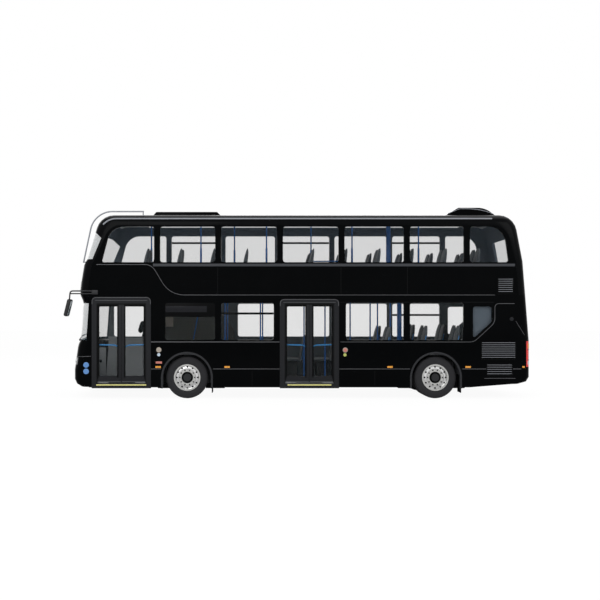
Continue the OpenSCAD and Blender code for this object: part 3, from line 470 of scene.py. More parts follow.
# Acrylic diffuser of a light strip: white, faintly lit
DIFFUSER = coat("acrylic_diffuser", "#f4f5f5 #eceded #fafafa", 0.5, 0.05, 0.0, Emission_Strength=0.5,
                Emission_Color=(1, 1, 1, 1))
# Painted ceiling board: pale and matt
CEILING = coat("ceiling_board", "#b9bdbf #b2b6b8 #c2c6c8", 0.6, 0.08, 0.0)
# Flecked vinyl floor: grey with grit of two tones
VINYL = coat("flecked_vinyl", "#44474a #383b3d #585b5e", 0.7, 0.010, 0.0002)
# Wool moquette: dark grey pile with a short weave, drawn coarse to show
MOQUETTE = coat("wool_moquette", "#3c4246 #33393d #484f53", 0.9, 0.008, 0.0012, Sheen_Weight=0.25,
                Sheen_Roughness=0.5)
# Leather piping along the seat edges: bright blue
PIPING = coat("blue_piping", "#2f86cc #2a7cc0 #3592da", 0.5, 0.01, 0.0002)
# Gloss powder coat on steel tube: deep blue
BLUE = coat("blue_powder_coat", "#3374c6 #2e6bba #387dd2", 0.25, 0.02, 0.0001, (0.20, 0.32))
# Gloss powder coat on the door rails: bright blue
RAIL_BLUE = coat("bright_blue_coat", "#2a86c8 #267dbd #2f8fd2", 0.25, 0.02, 0.0001, (0.2, 0.3))
# Forged alloy wheel: machined, pale and bright
ALLOY = coat("machined_alloy", "#c2c2c0 #b2b2b0 #d0d0ce", 0.3, 0.015, 0.0001, (0.22, 0.36), Metallic=0.8)
# Polished stainless wheel trim: bright, with faint cloudy marks
TRIM = coat("polished_trim", "#d8d8d8 #c8c8c8 #e4e4e4", 0.2, 0.02, 0.0001, (0.16, 0.28), Metallic=0.9)
# Zinc-plated steel gear
ZINC = coat("zinc_plated_steel", "#8d9093 #808386 #9a9da0", 0.35, 0.008, 0.0001, Metallic=0.9)
# Tyre rubber: charcoal, dusty, matt
TYRE = coat("tyre_rubber", "#252527 #202022 #2d2d30", 0.8, 0.03, 0.0004, (0.72, 0.86),
            Specular_IOR_Level=0.25)
# Chassis black: wax-coated steel
CHASSIS = coat("waxed_steel", "#232527 #1e2022 #2b2d30", 0.55, 0.05, 0.0003)
# Polycarbonate lenses: clear, smoked, red and amber
CLEAR_LENS = coat("clear_lens", "#c9d2d8 #b6c0c7 #dce4e9", 0.08, 0.03, 0.0004, Coat_Weight=0.6)
SMOKED_LENS = coat("smoked_lens", "#33383c #2c3135 #3b4145", 0.08, 0.03, 0.0004, Coat_Weight=0.6)
RED_LENS = coat("red_lens", "#e01c18 #d41614 #ee2a22", 0.12, 0.02, 0.0004, Coat_Weight=0.3)
AMBER_LENS = coat("amber_lens", "#ea9a1e #df8e14 #f5a82c", 0.14, 0.02, 0.0004, Coat_Weight=0.6)
# Anti-slip step edging: pale yellow vinyl
STEP_YELLOW = coat("step_edging", "#e2dc8a #d8d27e #ebe598", 0.6, 0.008, 0.0002)
# Cab mouldings: pale grey ABS
CAB_GREY = coat("cab_moulding", "#a0a4a6 #989c9e #a9adaf", 0.5, 0.01, 0.0002)
# Stair panels: dark grey melamine
STAIR_PANEL = coat("stair_melamine", "#565853 #50524d #5d5f5a", 0.5, 0.03, 0.0001)
# Printed ceramic mask on the back of the glass: dead black; the same black also serves as painted shade
# behind the vents and the wheel trims
MASK = coat("ceramic_mask", "#060708 #050607 #08090a", 0.3, 0.02, 0.0, Specular_IOR_Level=0.05)
# Blank sign and display glass: dark, faintly blue
SIGN = coat("sign_glass", "#1b1c20 #191a1d #1e1f23", 0.15, 0.05, 0.0, Specular_IOR_Level=0.1)
# Blank plate: pale reflective sheet
PLATE = coat("plate_sheet", "#d9d9cf #d2d2c8 #e0e0d6", 0.45, 0.01, 0.0001)
# Moulded knobs and caps: warm beige, pale blue, dull red and lime
BEIGE = coat("beige_cap", "#a69d92 #9c9388 #b0a79c", 0.45, 0.006, 0.0001)
PALE_BLUE = coat("pale_blue_cap", "#c3d3e2 #bacbdb #ccdcea", 0.4, 0.006, 0.0001)
DULL_RED = coat("dull_red_cap", "#c4776a #ba6d60 #ce8174", 0.4, 0.006, 0.0001)
LIME = coat("lime_cap", "#b4bd62 #aab358 #bec76c", 0.4, 0.006, 0.0001)
# Vitreous enamel disc: flat blue
DISC_BLUE = coat("blue_enamel", "#5c8cc8 #5684be #6294d2", 0.3, 0.03, 0.0)
# Silvered mirror glass
MIRROR = surface("mirror_glass", "#c8d0d4", 0.03, Metallic=1.0)
# Case of the battery: black powder coat
CASE = coat("battery_case_coat", "#1b1d1f #181a1c #212326", 0.5, 0.02, 0.0002)


# Finishes of the solids

def inside_out(middles, normals):
    """False on faces of a side wall that lie near the outer skin, True on the lining."""
    return np.abs(middles[:, 1]) < INNER + 0.004


def inner_shell(middles, normals):
    """False on the outer skin of an end panel or the roof, True where a face looks into the bus."""
    heart = np.array([0.0, 0.0, 2.2])
    return np.einsum("ij,ij->i", normals, heart - middles) > 0


def upper_shell(middles, normals):
    """0 on the painted skin, 1 on the ceiling, 2 in the dark cove and on linings."""
    ceiling = (np.abs(middles[:, 1]) < 1.0) & (normals[:, 2] < -0.9)
    return inner_shell(middles, normals) * np.where(ceiling, 1, 2)


def dress_shell():
    """Paint outside and lining inside the walls, ends and roof; windows, surrounds, trims and lamps."""
    for side in ("nearside", "offside"):
        dressed(f"{side}_lower_wall", [PAINT, LINING], inside_out)
        dressed(f"{side}_upper_wall", [PAINT, COVE], inside_out)
    for end in ("front_panel", "rear_panel"):
        dressed(end, [PAINT, COVE], inner_shell, 50)
    # The roof and the domes take the roof enamel, which is painted paler above the cant strips as painted
    # sheen
    for top in ("roof", "front_upper_panel", "rear_upper_panel"):
        dressed(top, [SHEEN_ROOF_PAINT, CEILING, COVE], upper_shell, 50)
    # Upward faces of the roof pods take the roof enamel, so its painted sheen makes their tops paler than
    # their sides
    dressed("roof_pods", [PAINT, SHEEN_ROOF_PAINT], lambda m, n: n[:, 2] > 0.2, 50)
    dressed("end_windows", [SCREEN_GLASS], None, 50)
    dressed("side_windows", [LOWER_GLASS, UPPER_GLASS], lambda m, n: m[:, 2] > DECK_Z)
    dressed("door_surrounds", [LEAF_BLACK, SATIN], lambda m, n: n[:, 1] < -0.5)
    dressed("arch_trims", [ARCH_RUBBER])
    dressed("vent_grilles", [MASK])
    dressed("tree_guard", [BRIGHT], None, 50)
    dressed("head_lamps", [SMOKED_LENS], None, 50)
    dressed("tail_lamps", [RED_LENS], None, 50)
    dressed("side_markers", [AMBER_LENS])


def dress_inside():
    """Floors, stairs, cab, rails and the battery."""
    dash_end = along(0.662)
    dressed("lower_floor", [VINYL, CHASSIS], lambda m, n: n[:, 2] < -0.5)
    dressed("upper_deck", [VINYL, CEILING], lambda m, n: n[:, 2] < 0.5)
    dressed("staircase", [STAIR_PANEL, VINYL], lambda m, n: n[:, 2] > 0.5)
    dressed("driver_cab", [CAB_GREY, PLASTIC], lambda m, n: (m[:, 0] < dash_end) & (m[:, 2] > 0.5))
    dressed("cab_door", [CAB_GREY])
    dressed("seat_frames", [PLASTIC])
    dressed("grab_rails", [BLUE])
    dressed("battery_pack", [CASE])


def dress_running_gear():
    """Chassis, axles, knuckles and wheels with dark hubs."""
    for node in ("chassis_frame", "front_axle", "rear_axle", "near_knuckle", "off_knuckle"):
        dressed(node, [CHASSIS])
    for wheel, x, s in WHEELS:
        dressed(wheel, [ALLOY, PLASTIC], lambda m, n: np.hypot(m[:, 0] - along(x), m[:, 2] - TYRE_R) < HUB_R)


def dress_doors():
    """Leaves with a satin foot and meeting stile and blue rails, panes and door gear."""
    for door, x in DOORS.items():
        def leaf_faces(middles, normals):
            rail = (middles[:, 1] > LEAF_T - LEAF_Y + 0.002) & (np.abs(middles[:, 2] - RAIL_Z + 0.04) < 0.075)
            stile = np.abs(middles[:, 0] - along(x)) < 0.05
            satin = (normals[:, 1] < -0.5) & ((middles[:, 2] < LEAF_LO + 0.1) | stile)
            return np.where(rail, 2, satin)

        for leaf in "ab":
            dressed(f"{door}_door_leaf_{leaf}", [LEAF_BLACK, SATIN, RAIL_BLUE], leaf_faces)
            dressed(f"{door}_door_pane_{leaf}", [LOWER_GLASS])
            dressed(f"{door}_door_arm_{leaf}", [ZINC])


# Fittings

def side_point(x, z, s, lift=0.0):
    """A point on the side s, at x from the front and height z, lifted off the panel."""
    return [along(x), s * (HALF + lift), z]


def moulding(points, s, width, proud, radius=None):
    """A rounded strip of that width on side s: a flat D profile carried along the points."""
    path = np.array([side_point(x, z, s, -0.0005) for x, z in points])
    if radius is not None:
        path = rounded_path(path, radius, 12)
    return carry(half_round(width / 2, proud, 0.6), path, [0, s, 0])


def level(x0, x1, z, s, width, proud):
    """A moulding at one height."""
    return moulding([(x0, z), (x1, z)], s, width, proud)


def side_mouldings():
    """Waist rails, the styling sweep, the skirt lines and the faint panel joints of both sides."""
    sweep = [(0.655, 3.008), (1.897, 3.008), (2.306, 2.325), (9.591, 2.325)]
    quarter = [(6.130, SILL_Z), (9.121, SILL_Z), (9.591, 1.707), (9.591, 2.132), (10.03, 2.132)]
    sills = {-1: (1.885, 4.765), 1: (0.62, 6.13)}
    rear_skirt = [(8.855, 9.395), (10.0, 10.18)]
    skirts = {-1: [(1.885, 2.105), (3.275, 4.765), (6.105, 7.685)] + rear_skirt,
              1: [(0.62, 2.105), (3.275, 7.685)] + rear_skirt}
    lines, rails, joints = [], [], []
    for s in (-1, 1):
        rails.append(level(1.930, 10.04, 2.997, s, 0.062, 0.006))
        joints += [moulding([(x, 2.35), (x, 2.95)], s, 0.007, 0.0015) for x in (3.380, 6.142, 7.631)]
        joints += [moulding([(x, 0.30), (x, 0.62)], s, 0.007, 0.0015) for x in (4.150, 6.900)]
        joints.append(level(6.130, 9.560, 2.162, s, 0.010, 0.002))
        lines.append(moulding(sweep, s, 0.013, 0.005, [0.16, 0.34]))
        lines.append(moulding(quarter, s, 0.013, 0.005, 0.10))
        lines.append(level(9.355, 10.050, 0.457, s, 0.012, 0.004))
        lines.append(level(*sills[s], SILL_Z, s, 0.020, 0.006))
        lines += [level(*run, SKIRT_Z, s, 0.015, 0.005) for run in skirts[s]]
    piece("side_mouldings", lines, STRIP)
    piece("waist_rails", rails, WAIST)
    piece("panel_joints", joints, RUBBER)


def cant_strips():
    """A bright moulding where each side turns into the roof; its pale colour is also a painted highlight
    along the cant's curve. It runs level along the bus, and with the dome's radius down to the front. Its
    height and lean are those of the cant's arc at its width."""
    reach, rise, r = 0.191, 0.1453, 0.240
    start, dome_r, width = 1.0993, 0.4, 1.216
    a = np.radians(np.linspace(42, 90, 14))
    x = np.concatenate([start - dome_r * np.cos(a), [9.54]])
    z = np.concatenate([STRIP_Z - dome_r + dome_r * np.sin(a), [STRIP_Z]])
    strips = []
    for s in (-1, 1):
        path = xyz(along(x), s * width, z)
        strips.append(carry(half_round(0.020, 0.005, 0.6, 0.001), path, [0, s * reach / r, rise / r]))
    piece("cant_rail_strips", strips, BRIGHT)


def round_caps(spots, thick=0.010):
    """Buttons and caps on the sides: (x, z, side, radius) each, with a rounded rim."""
    rim = np.array([(0, 0), (1, 0), (1, 0.55), (0.94, 0.85), (0.8, 1), (0, 1)])
    sunk = np.array([(0, 0.001), (0, 0.001), (0, 0), (0, 0), (0, 0), (0, 0)])
    return [lathe(rim * [r, thick] - sunk, side_point(x, z, s), s, 24) for x, z, s, r in spots]


def side_fittings():
    """Buttons by the doors, a reflector, caps and joints of the rear flaps, blank discs, rear ambers,
    mudflaps and the sheets of the wheel houses."""
    piece("beige_buttons", round_caps([(2.060, 1.095, -1, 0.058), (6.238, 1.091, -1, 0.056)]), BEIGE)
    piece("pale_buttons", round_caps([(2.060, 0.986, -1, 0.036)]), PALE_BLUE)
    piece("red_button", round_caps([(6.238, 1.091, -1, 0.044)], 0.016), DULL_RED)
    piece("lime_buttons", round_caps([(6.231, 0.983, -1, 0.036)]), LIME)
    piece("red_reflector", level(1.992, 2.130, 0.812, -1, 0.050, 0.006), DULL_RED)
    piece("charge_flap_cap", round_caps([(9.967, 1.787, s, 0.044) for s in (-1, 1)]), SATIN)
    joints = [moulding([(10.06, 1.742), (10.255, 1.430)], s, 0.008, 0.002) for s in (-1, 1)]
    piece("rear_flap_joints", joints, STRIP)
    piece("blank_blue_discs", round_caps([(0.430, z, -1, 0.062) for z in (0.757, 0.614)], 0.003), DISC_BLUE)
    ambers = [block((10.205, 10.262), (s * 1.250, s * 1.269), (0.692, 0.732), 0.006) for s in (-1, 1)]
    piece("rear_amber_reflectors", ambers, AMBER_LENS)
    flaps = []
    for axle, top in zip(AXLES, (0.300, 0.525)):
        for s in (-1, 1):
            flaps.append(block((axle + 0.556, axle + 0.572), (s * 0.930, s * 1.250), (0.130, 0.560), 0.006))
            for x0, x1 in ((-0.740, -0.380), (0.380, 0.820)):
                flaps.append(block((axle + x0, axle + x1), (s * 0.548, s * 0.557), (0.170, top), 0.004))
    piece("mudflaps", flaps, RUBBER)


def louvre_edges():
    """A thin pale edge along each blade of the vents, and a black sheet behind each vent that paints the
    shade inside it.
    """
    edges, backs = [], []
    for x0, z0, x1, z1 in VENTS:
        n = int((z1 - z0) / 0.050)
        step = (z1 - z0 - 0.036) / n
        heights = z0 + 0.020 + np.arange(1, n + 1) * step - 0.008
        for s in (-1, 1):
            skin = (s * (HALF - 0.0005), s * (HALF - 0.008))
            behind = (s * (INNER - 0.009), s * (INNER - 0.001))
            edges += [block((x0 + 0.022, x1 - 0.022), skin, (z - 0.0045, z + 0.0045), 0.0025, 2)
                      for z in heights]
            # Black sheet behind the vent: painted shade in place of the dark inside the vent
            backs.append(block((x0 - 0.03, x1 + 0.03), behind, (z0 - 0.03, z1 + 0.03), 0.003))
    piece("louvre_edges", edges, BRIGHT)
    piece("vent_shade_backs", backs, MASK)


def window_fittings():
    """Hopper bars, the mask and blank sign of the first lower window, a board behind the quarter window."""
    bars = [block((x0, x1), (s * (GLASS_IN - 0.020), s * GLASS_IN), (z - 0.024, z + 0.024), 0.006)
            for s, x0, x1, z in HOPPERS]
    piece("hopper_bars", bars, MASK)
    mask = block((2.195, 3.325), (-HALF + 0.0005, -HALF + 0.0025), (1.832, 2.150), 0.0009)
    piece("window_mask", mask, MASK)
    sign = block((2.210, 3.136), (-HALF - 0.0020, -HALF + 0.0010), (1.940, 2.078), 0.0014)
    piece("blank_side_sign", sign, SIGN)
    piece("quarter_board", block((9.02, 9.60), (-1.2045, -1.186), (1.30, 2.12), 0.006), COVE)


def light_strips():
    """Lengthwise light strips under both ceilings; the lower one of the off side starts behind the stairs."""
    under = (SALOON_TOP - 0.016, SALOON_TOP - 0.0005)
    strips = []
    for s, start in ((-1, 1.9), (1, 4.1)):
        strips.append(block((1.55, 9.30), (s * 0.925, s * 1.000), (4.058, 4.079), 0.006))
        strips.append(block((start, 9.2), (s * 0.84, s * 0.92), under, 0.005))
    piece("light_strips", strips, DIFFUSER)


def pole(x, y, foot, head, r):
    """An upright tube."""
    return tube([(x, y, foot), (x, y, head)], r, [1, 0, 0])


def upper_rails():
    """Thicker sleeves round the feet of the upper poles, the guard rail beside the stairs, and four more
    poles below with two broad posts by the rear seats."""
    sleeves = [pole(x, s * POLE_Y, 2.900, 3.440, 0.024) for x, s in UPPER_POLES]
    guard = [(5.568, POLE_Y, 3.172), (6.450, POLE_Y, 3.172), (6.450, POLE_Y, DECK_Z + 0.001)]
    piece("pole_sleeves", sleeves + [tube(guard, 0.015, [0, 1, 0], 0.09)], BLUE)
    feet = [(0.573, -0.600, FLOOR_Z), (3.540, POLE_Y, FLOOR_Z), (4.392, POLE_Y, FLOOR_Z),
            (7.182, POLE_Y, REAR_FLOOR_Z)]
    poles = [pole(*foot, SALOON_TOP - 0.0005, 0.017) for foot in feet]
    for x, foot, head in ((7.712, 2 * TYRE_R + 0.06, SALOON_TOP), (7.445, DECK_Z, 4.095)):
        poles.append(block((x - 0.055, x + 0.055), (0.262, 0.318), (foot, head - 0.0005), 0.020))
    piece("saloon_poles", poles, BLUE)


def cab_fittings():
    """The driver's headrest, the binnacle, the dash side ahead of the cab door, its dark pull with the dash's
    cowl, the stair rail and a blank board."""
    t = np.linspace(0, 1, 14)
    spine = xyz(along(1.36 + 0.09 * t), DRIVER_Y, 1.42 + 0.30 * t)
    ends = np.sqrt(1.02 - (2 * t - 1) ** 4)
    rest = pad(spine, 0.17 * ends, 0.060 * ends, [0.96, 0, -0.28])
    piece("driver_headrest", rest, MOQUETTE, angle=60)
    piece("binnacle", block((0.380, 0.555), (0.400, 0.980), (1.075, 1.270), 0.030), PLASTIC)
    side = block((0.340, 0.6595), (0.236, 0.262), (FLOOR_Z + 0.004, 1.080), 0.008)
    piece("dash_side", side, CAB_GREY)
    pull = block((0.440, 0.500), (0.222, 0.237), (0.720, 0.790), 0.006)
    cowl = block((0.300, 0.640), (0.262, 0.980), (1.070, 1.130), 0.020)
    piece("cab_pull_and_cowl", [pull, cowl], PLASTIC)
    rail = [tube([(2.696, 0.520, 1.270), (2.800, 0.520, 1.840)], 0.014, [0, 1, 0])]
    for x, z in ((2.712, 1.36), (2.782, 1.74)):
        rail.append(tube([(x, 0.516, z), (x, 0.545, z)], 0.010, [0, 0, 1]))
    piece("stair_rail", rail, BLUE)
    board = block((2.010, 2.199), (0.5345, 0.5395), (1.580, 1.822), 0.002)
    piece("blank_board", board, BEIGE)


def steering_wheel():
    """A rim of circular section, three flat spokes and a bored hub, turned about the wheel's leaning axis."""
    axis = np.array([120.0, 0.0, 721.0]) / np.hypot(120.0, 721.0)
    across = np.array([axis[2], 0.0, -axis[0]])
    turn = np.stack([across, axis, [0.0, 1.0, 0.0]])
    section = circle(0.0148, 16) + [0.215, 0.0]
    bore = [(0, 0.012), (0.0245, 0.012), (0.0245, -0.020)]
    outside = [(0.045, -0.020), (0.045, 0.020), (0.036, 0.029), (0, 0.0298)]
    shapes = [lathe(np.concatenate([section, section[:1]]), [0, 0, 0], 1, 64),
              lathe(bore + outside, [0, 0, 0], 1, 40)]
    for a in np.radians([90, 210, 330]):
        way = np.array([np.cos(a), 0.0, np.sin(a)])
        shapes.append(carry(circle(1.0) * [0.014, 0.008], np.outer([0.040, 0.210], way), [0, 1, 0]))
    points, faces = joined(shapes)
    middle = [along(0.820), DRIVER_Y, 1.200]
    wheel = piece("steering_wheel_grip", (points @ turn + middle, faces), PLASTIC, body="steering_wheel")
    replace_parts(wheel, "steering_wheel")


def pod_edges():
    """Bright edges round the recess in each side of the rear pod, from its ramp over its top to its fall."""
    t = np.linspace(0, 1, 16)
    fall = np.stack([9.05 + 0.61 * t, 4.308 - 0.116 * t ** 2.2], -1)
    x, z = np.concatenate([[(8.625, 4.195), (8.880, 4.300), (8.930, 4.310)], fall]).T
    edges = []
    for s in (-1, 1):
        path = xyz(along(x), s * 0.8595, z)
        edges.append(carry(half_round(0.008, 0.004), path, [0, s, 0]))
    piece("pod_edges", edges, BRIGHT)


def skin_disc(skin, y, z, r, proud):
    """A round plate of radius r on the skin of an end: rings about y, z that start under the skin, come up
    at the edge and rise with the fourth power of the radius to proud in the middle."""
    across, up = circle(r, 24).T
    ring = np.array([0, 1, 1, 0.7, 0.35, 0])[:, None]
    lift = np.where(np.arange(6)[:, None] < 2, -0.006, proud * (1 - ring ** 4))
    points = skin(y + ring * across, z + ring * up, lift)
    return points.reshape(-1, 3), ring_faces(len(ring), len(up))


def end_lamps():
    """Round lamps with bright rims in the front lamps, amber, clear and dark bars in the rear ones."""
    rims, lenses, ambers, clears, bars = [], [], [], [], []
    for s in (-1, 1):
        for y in (0.740, 0.920, 1.080):
            rims.append(skin_disc(front_skin, s * y, 0.840, 0.066, 0.007))
            lenses.append(skin_disc(front_skin, s * y, 0.840, 0.054, 0.014))
        ambers.append(end_plate(rear_skin, s * 1.095, s * 1.205, 1.120, 1.240, 0.005))
        clears.append(end_plate(rear_skin, s * 1.095, s * 1.205, 0.760, 0.840, 0.005))
        bars += [end_plate(rear_skin, s * 1.085, s * 1.215, z, z + 0.012, 0.006) for z in (0.860, 1.090)]
    piece("head_lamp_rims", rims, ALLOY)
    piece("head_lamp_lenses", lenses, CLEAR_LENS)
    piece("rear_indicators", ambers, AMBER_LENS)
    piece("reversing_lamps", clears, CLEAR_LENS)
    piece("tail_lamp_bars", bars, PLASTIC)


def front_fittings():
    """Blank displays and plates, grille ridges, the engine lid's seam, wipers and bumper lines."""
    piece("front_display", end_plate(front_skin, -0.83, 0.83, 2.420, 2.640, 0.004), SIGN)
    piece("rear_display", end_plate(rear_skin, -0.36, 0.36, 2.420, 2.640, 0.004), SIGN)
    piece("front_plate", end_plate(front_skin, -0.26, 0.26, 0.455, 0.565, 0.008), PLATE)
    piece("rear_plate", end_plate(rear_skin, -0.26, 0.26, 0.560, 0.670, 0.008), PLATE)
    ridges = [end_plate(front_skin, -0.58, 0.58, z, z + 0.014, 0.006) for z in np.arange(0.700, 0.920, 0.040)]
    ridges += [end_plate(rear_skin, -0.80, 0.80, z, z + 0.014, 0.006) for z in np.arange(0.860, 1.220, 0.045)]
    piece("end_grille_ridges", ridges, SATIN)
    lid = [(-0.95, 0.78), (-0.95, 1.62), (0.95, 1.62), (0.95, 0.78), (-0.95, 0.78)]
    seam = []
    for (y0, z0), (y1, z1) in zip(lid[:-1], lid[1:]):
        t = np.linspace(0, 1, 13)
        path = rear_skin(y0 + (y1 - y0) * t, z0 + (z1 - z0) * t, 0.001)
        seam.append(carry(circle(0.004, 8), path, [1, 0, 0]))
    piece("engine_lid_seam", seam, STRIP)
    t = np.linspace(0, 1, 15)
    foot_z = 1.300
    wipers = []
    for y0, y1 in ((-0.62, 0.12), (0.18, 0.92)):
        arm = front_skin(y0 + (y1 - y0) * t, foot_z + 0.10 * t, 0.030 + 0.01 * np.sin(np.pi * t))
        blade = front_skin(np.linspace(y1 - 0.46, y1 + 0.20, 15), 1.385 + 0.03 * t, 0.016)
        foot = front_skin(np.array([y0, y0]), np.array([foot_z, foot_z]), np.array([-0.01, 0.035]))
        wipers += [carry(circle(0.009, 8), arm, [1, 0, 0]), carry(circle(0.010, 8), blade, [1, 0, 0]),
                   carry(circle(0.024, 14), foot, [0, 0, 1])]
    piece("wipers", wipers, PLASTIC)
    corner = 1.2645
    lines = []
    for s in (-1, 1):
        y = s * np.concatenate([np.linspace(0.66, 1.20, 12), np.linspace(1.215, corner, 8)])
        z = 0.945 - 0.045 * np.clip((corner - np.abs(y)) / 0.6, 0, 1)
        path = np.concatenate([front_skin(y, z, 0.0), [side_point(0.530, 0.948, s)]])
        lines.append(carry(circle(0.006, 8), path, [0, 0, 1]))
    piece("bumper_lines", lines, STRIP)


def mirrors():
    """Round-edged mirror heads on their arms, with a silvered plate on the rear face; a head leans by 14
    degrees."""
    lean = np.radians(14)
    turn = np.array([[np.cos(lean), 0, np.sin(lean)], [0, 1, 0], [-np.sin(lean), 0, np.cos(lean)]])
    y, h = np.meshgrid(np.linspace(-0.088, 0.088, 9), np.linspace(-0.162, 0.162, 9), indexing="ij")
    face = 0.0455
    plates, sets = [], []
    for s in (-1, 1):
        middle = np.array([along(MIRROR_X), s * (HALF + 0.070), 2.040])
        reach = s * (HALF + 0.030)
        sets.append(block((0.560, 0.700), (s * HALF, s * (HALF + 0.045)), (2.335, 2.435), 0.012))
        arm = [(0.600, reach, 2.415), (0.080, reach, 2.415), (0.062, reach, 2.200)]
        sets.append(tube(arm, 0.016, [0, 1, 0], 0.060))
        sets.append(tube([(0.600, reach, 2.355), (0.085, reach, 2.355)], 0.014, [0, 0, 1]))
        points, faces = rounded_block([-0.045, -0.120, -0.195], [0.045, 0.120, 0.195], 0.036, 5)
        sets.append((points @ turn.T + middle, faces))
        x = face * np.cos(lean) + h * np.sin(lean) + 0.002
        z = h * np.cos(lean) - face * np.sin(lean)
        plates.append(slab(xyz(x, y, z) + middle, [-0.0035, 0, 0]))
    piece("mirror_glass", plates, MIRROR)
    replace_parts(piece("mirror_sets", sets, PLASTIC), "mirrors")


def door_trims():
    """Edges, seals and step edging of each doorway; a nose, a sill line, a cover over the meeting stile and
    a printed band beside it on each leaf."""
    profile = half_round(0.008, 0.006)
    reach = DOOR_HALF + 0.095
    seal_y = (-HALF - 0.0035, -HALF + 0.0050)
    # Name, material, distances from the doorway's middle, depths from the leaf's face, heights and radius
    leaf_trims = [
        ("nose", RUBBER, (0.0006, 0.0035), (0.004, LEAF_T - 0.004), (LEAF_LO + 0.004, HEAD_Z - 0.034), 0.001),
        ("sill", STRIP, (0.012, 0.535), (-0.004, 0.001), (LEAF_LO + 0.004, LEAF_LO + 0.018), 0.002),
        ("cover", SATIN, (0.005, 0.064), (-0.002, 0.002), (LEAF_LO + 0.022, HEAD_Z - 0.040), 0.0015),
        ("mask", MASK, (0.062, 0.094), (-0.0005, 0.0035), (LEAF_LO + 0.100, HEAD_Z - 0.060), 0.001)]
    edges, steps, seals = [], [], []
    for (door, x), top, step in zip(DOORS.items(), (2.280, 2.235), (0.560, 0.490)):
        # The pale edges round each doorway's head are mouldings whose pale colour is also painted highlight
        # on the surround's edges
        over = [(-reach, -0.16), (-reach, -0.012), (reach, -0.012), (reach, -0.16)]
        over = np.array([side_point(x + a, top + b, -1, 0.0035) for a, b in over])
        edges.append(carry(profile, rounded_path(over, 0.09), [0, -1, 0]))
        under = [side_point(x + a, top - 0.075, -1, 0.0035) for a in (0.07 - reach, reach - 0.07)]
        edges.append(carry(profile * 0.7, under, [0, -1, 0]))
        steps.append(block((x - step, x + step), (-HALF - 0.012, -HALF - 0.0035), (0.296, 0.324), 0.003))
        for s in (-1, 1):
            jamb = (x + s * 0.540, x + s * (DOOR_HALF + 0.004))
            seals.append(block(jamb, seal_y, (LEAF_LO - 0.030, HEAD_Z + 0.004), 0.002))
        seals.append(block((x - 0.550, x + 0.550), seal_y, (HEAD_Z - 0.036, HEAD_Z + 0.004), 0.002))
        for leaf, s in zip("ab", (-1, 1)):
            for name, material, apart, depths, heights, r in leaf_trims:
                shape = block(x + s * np.array(apart), np.array(depths) - LEAF_Y, heights, r)
                piece(f"{door}_leaf_{leaf}_{name}", shape, material, f"{door}_door_leaf_{leaf}")
    piece("doorway_edges", edges, STRIP)
    piece("step_edging", steps, STEP_YELLOW)
    piece("doorway_seals", seals, RUBBER)


def tyre_profile():
    """Section of a ribbed tyre: bead, bulging sidewall with a raised ring, shoulder and four grooves."""
    w, r = TYRE_HALF_W, TYRE_R
    wall = [(RIM_R + 0.0005, w - 0.016), (RIM_R + 0.024, w - 0.008), (RIM_R + 0.05, w - 0.003),
            (RIM_R + 0.08, w), (RIM_R + 0.095, w), (RIM_R + 0.100, w - 0.002), (RIM_R + 0.110, w - 0.002),
            (RIM_R + 0.114, w - 0.001), (r - 0.045, w - 0.007), (r - 0.030, w - 0.012),
            (r - 0.014, w - 0.019), (r - 0.006, w - 0.027), (r, w - 0.046)]
    groove = 0.011
    tread = []
    for h in (0.063, 0.021, -0.021, -0.063):
        tread += [(r, h + 0.0055), (r - groove, h + 0.0035), (r - groove, h - 0.0035), (r, h - 0.0055)]
    return wall + tread + [(a, -b) for a, b in reversed(wall)] + wall[:1]


def tyres():
    """Ribbed tyres in place of the plain ones."""
    profile = tyre_profile()
    twin_y = (WHEEL_Y, WHEEL_Y - TWIN_PITCH)
    for side, s in (("near", -1), ("off", 1)):
        shape = lathe(profile, [along(AXLES[0]), s * WHEEL_Y, TYRE_R], s, 96)
        tyre = piece(f"{side}_front_ribbed_tyre", shape, TYRE, f"{side}_front_wheel", 40)
        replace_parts(tyre, f"{side}_front_tyre")
        twins = [lathe(profile, [along(AXLES[1]), s * y, TYRE_R], s, 96) for y in twin_y]
        tyre = piece(f"{side}_rear_ribbed_tyres", twins, TYRE, f"{side}_rear_wheel", 40)
        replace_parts(tyre, f"{side}_rear_tyres")


def hex_nut(centre, out, r, h):
    """A six-sided nut with a washer and a domed end on the Y axis."""
    profile = [(0, 0), (r * 1.25, 0), (r * 1.25, 0.004), (r, 0.004), (r, h * 0.8), (r * 0.7, h), (0, h)]
    return lathe(profile, centre, out, 6)


def wheel_trim(axle, s):
    """A convex bright ring with hand holes: in each hole's sector, straight lines run from the edge of the
    hole to the edge of the sector, and the ring falls back with the power 1.4 of its share of the width."""
    holes, inner, outer, middle, hole_r = 12, 0.197, TRIM_R, 0.238, 0.0205
    depth, thick, gap = 0.015, 0.0015, 0.0001
    half = middle * np.pi / holes - gap
    low = np.array([inner - middle, -half])
    high = np.array([outer - middle, half])
    corners = [np.arctan2(v, u) for u in (low[0], high[0]) for v in (low[1], high[1])]
    turn = np.sort(np.concatenate([np.linspace(-np.pi, np.pi, 40, endpoint=False), corners]))
    way = np.stack([np.cos(turn), np.sin(turn)], -1)
    reach = np.min(np.abs(np.where(way > 0, high, low)) / np.maximum(np.abs(way), 1e-9), axis=1)
    share = np.array([0, 0.3, 0.65, 1, 1, 0.65, 0.3, 0, 0])[:, None]
    back = np.array([0, 0, 0, 0, 1, 1, 1, 1, 0])[:, None] * thick
    flat = (hole_r + share * (reach - hole_r))[..., None] * way
    r = middle + flat[..., 0]
    y = TRIM_FACE - depth * np.clip((r - inner) / (outer - inner), 0, 1) ** 1.4 - back
    sectors = []
    for k in range(holes):
        a = flat[..., 1] / middle + 2 * np.pi * k / holes
        points = xyz(along(axle) + r * np.cos(a), s * (WHEEL_Y + y), TYRE_R + r * np.sin(a))
        sectors.append((points.reshape(-1, 3), ring_faces(len(share), len(turn))))
    return sectors


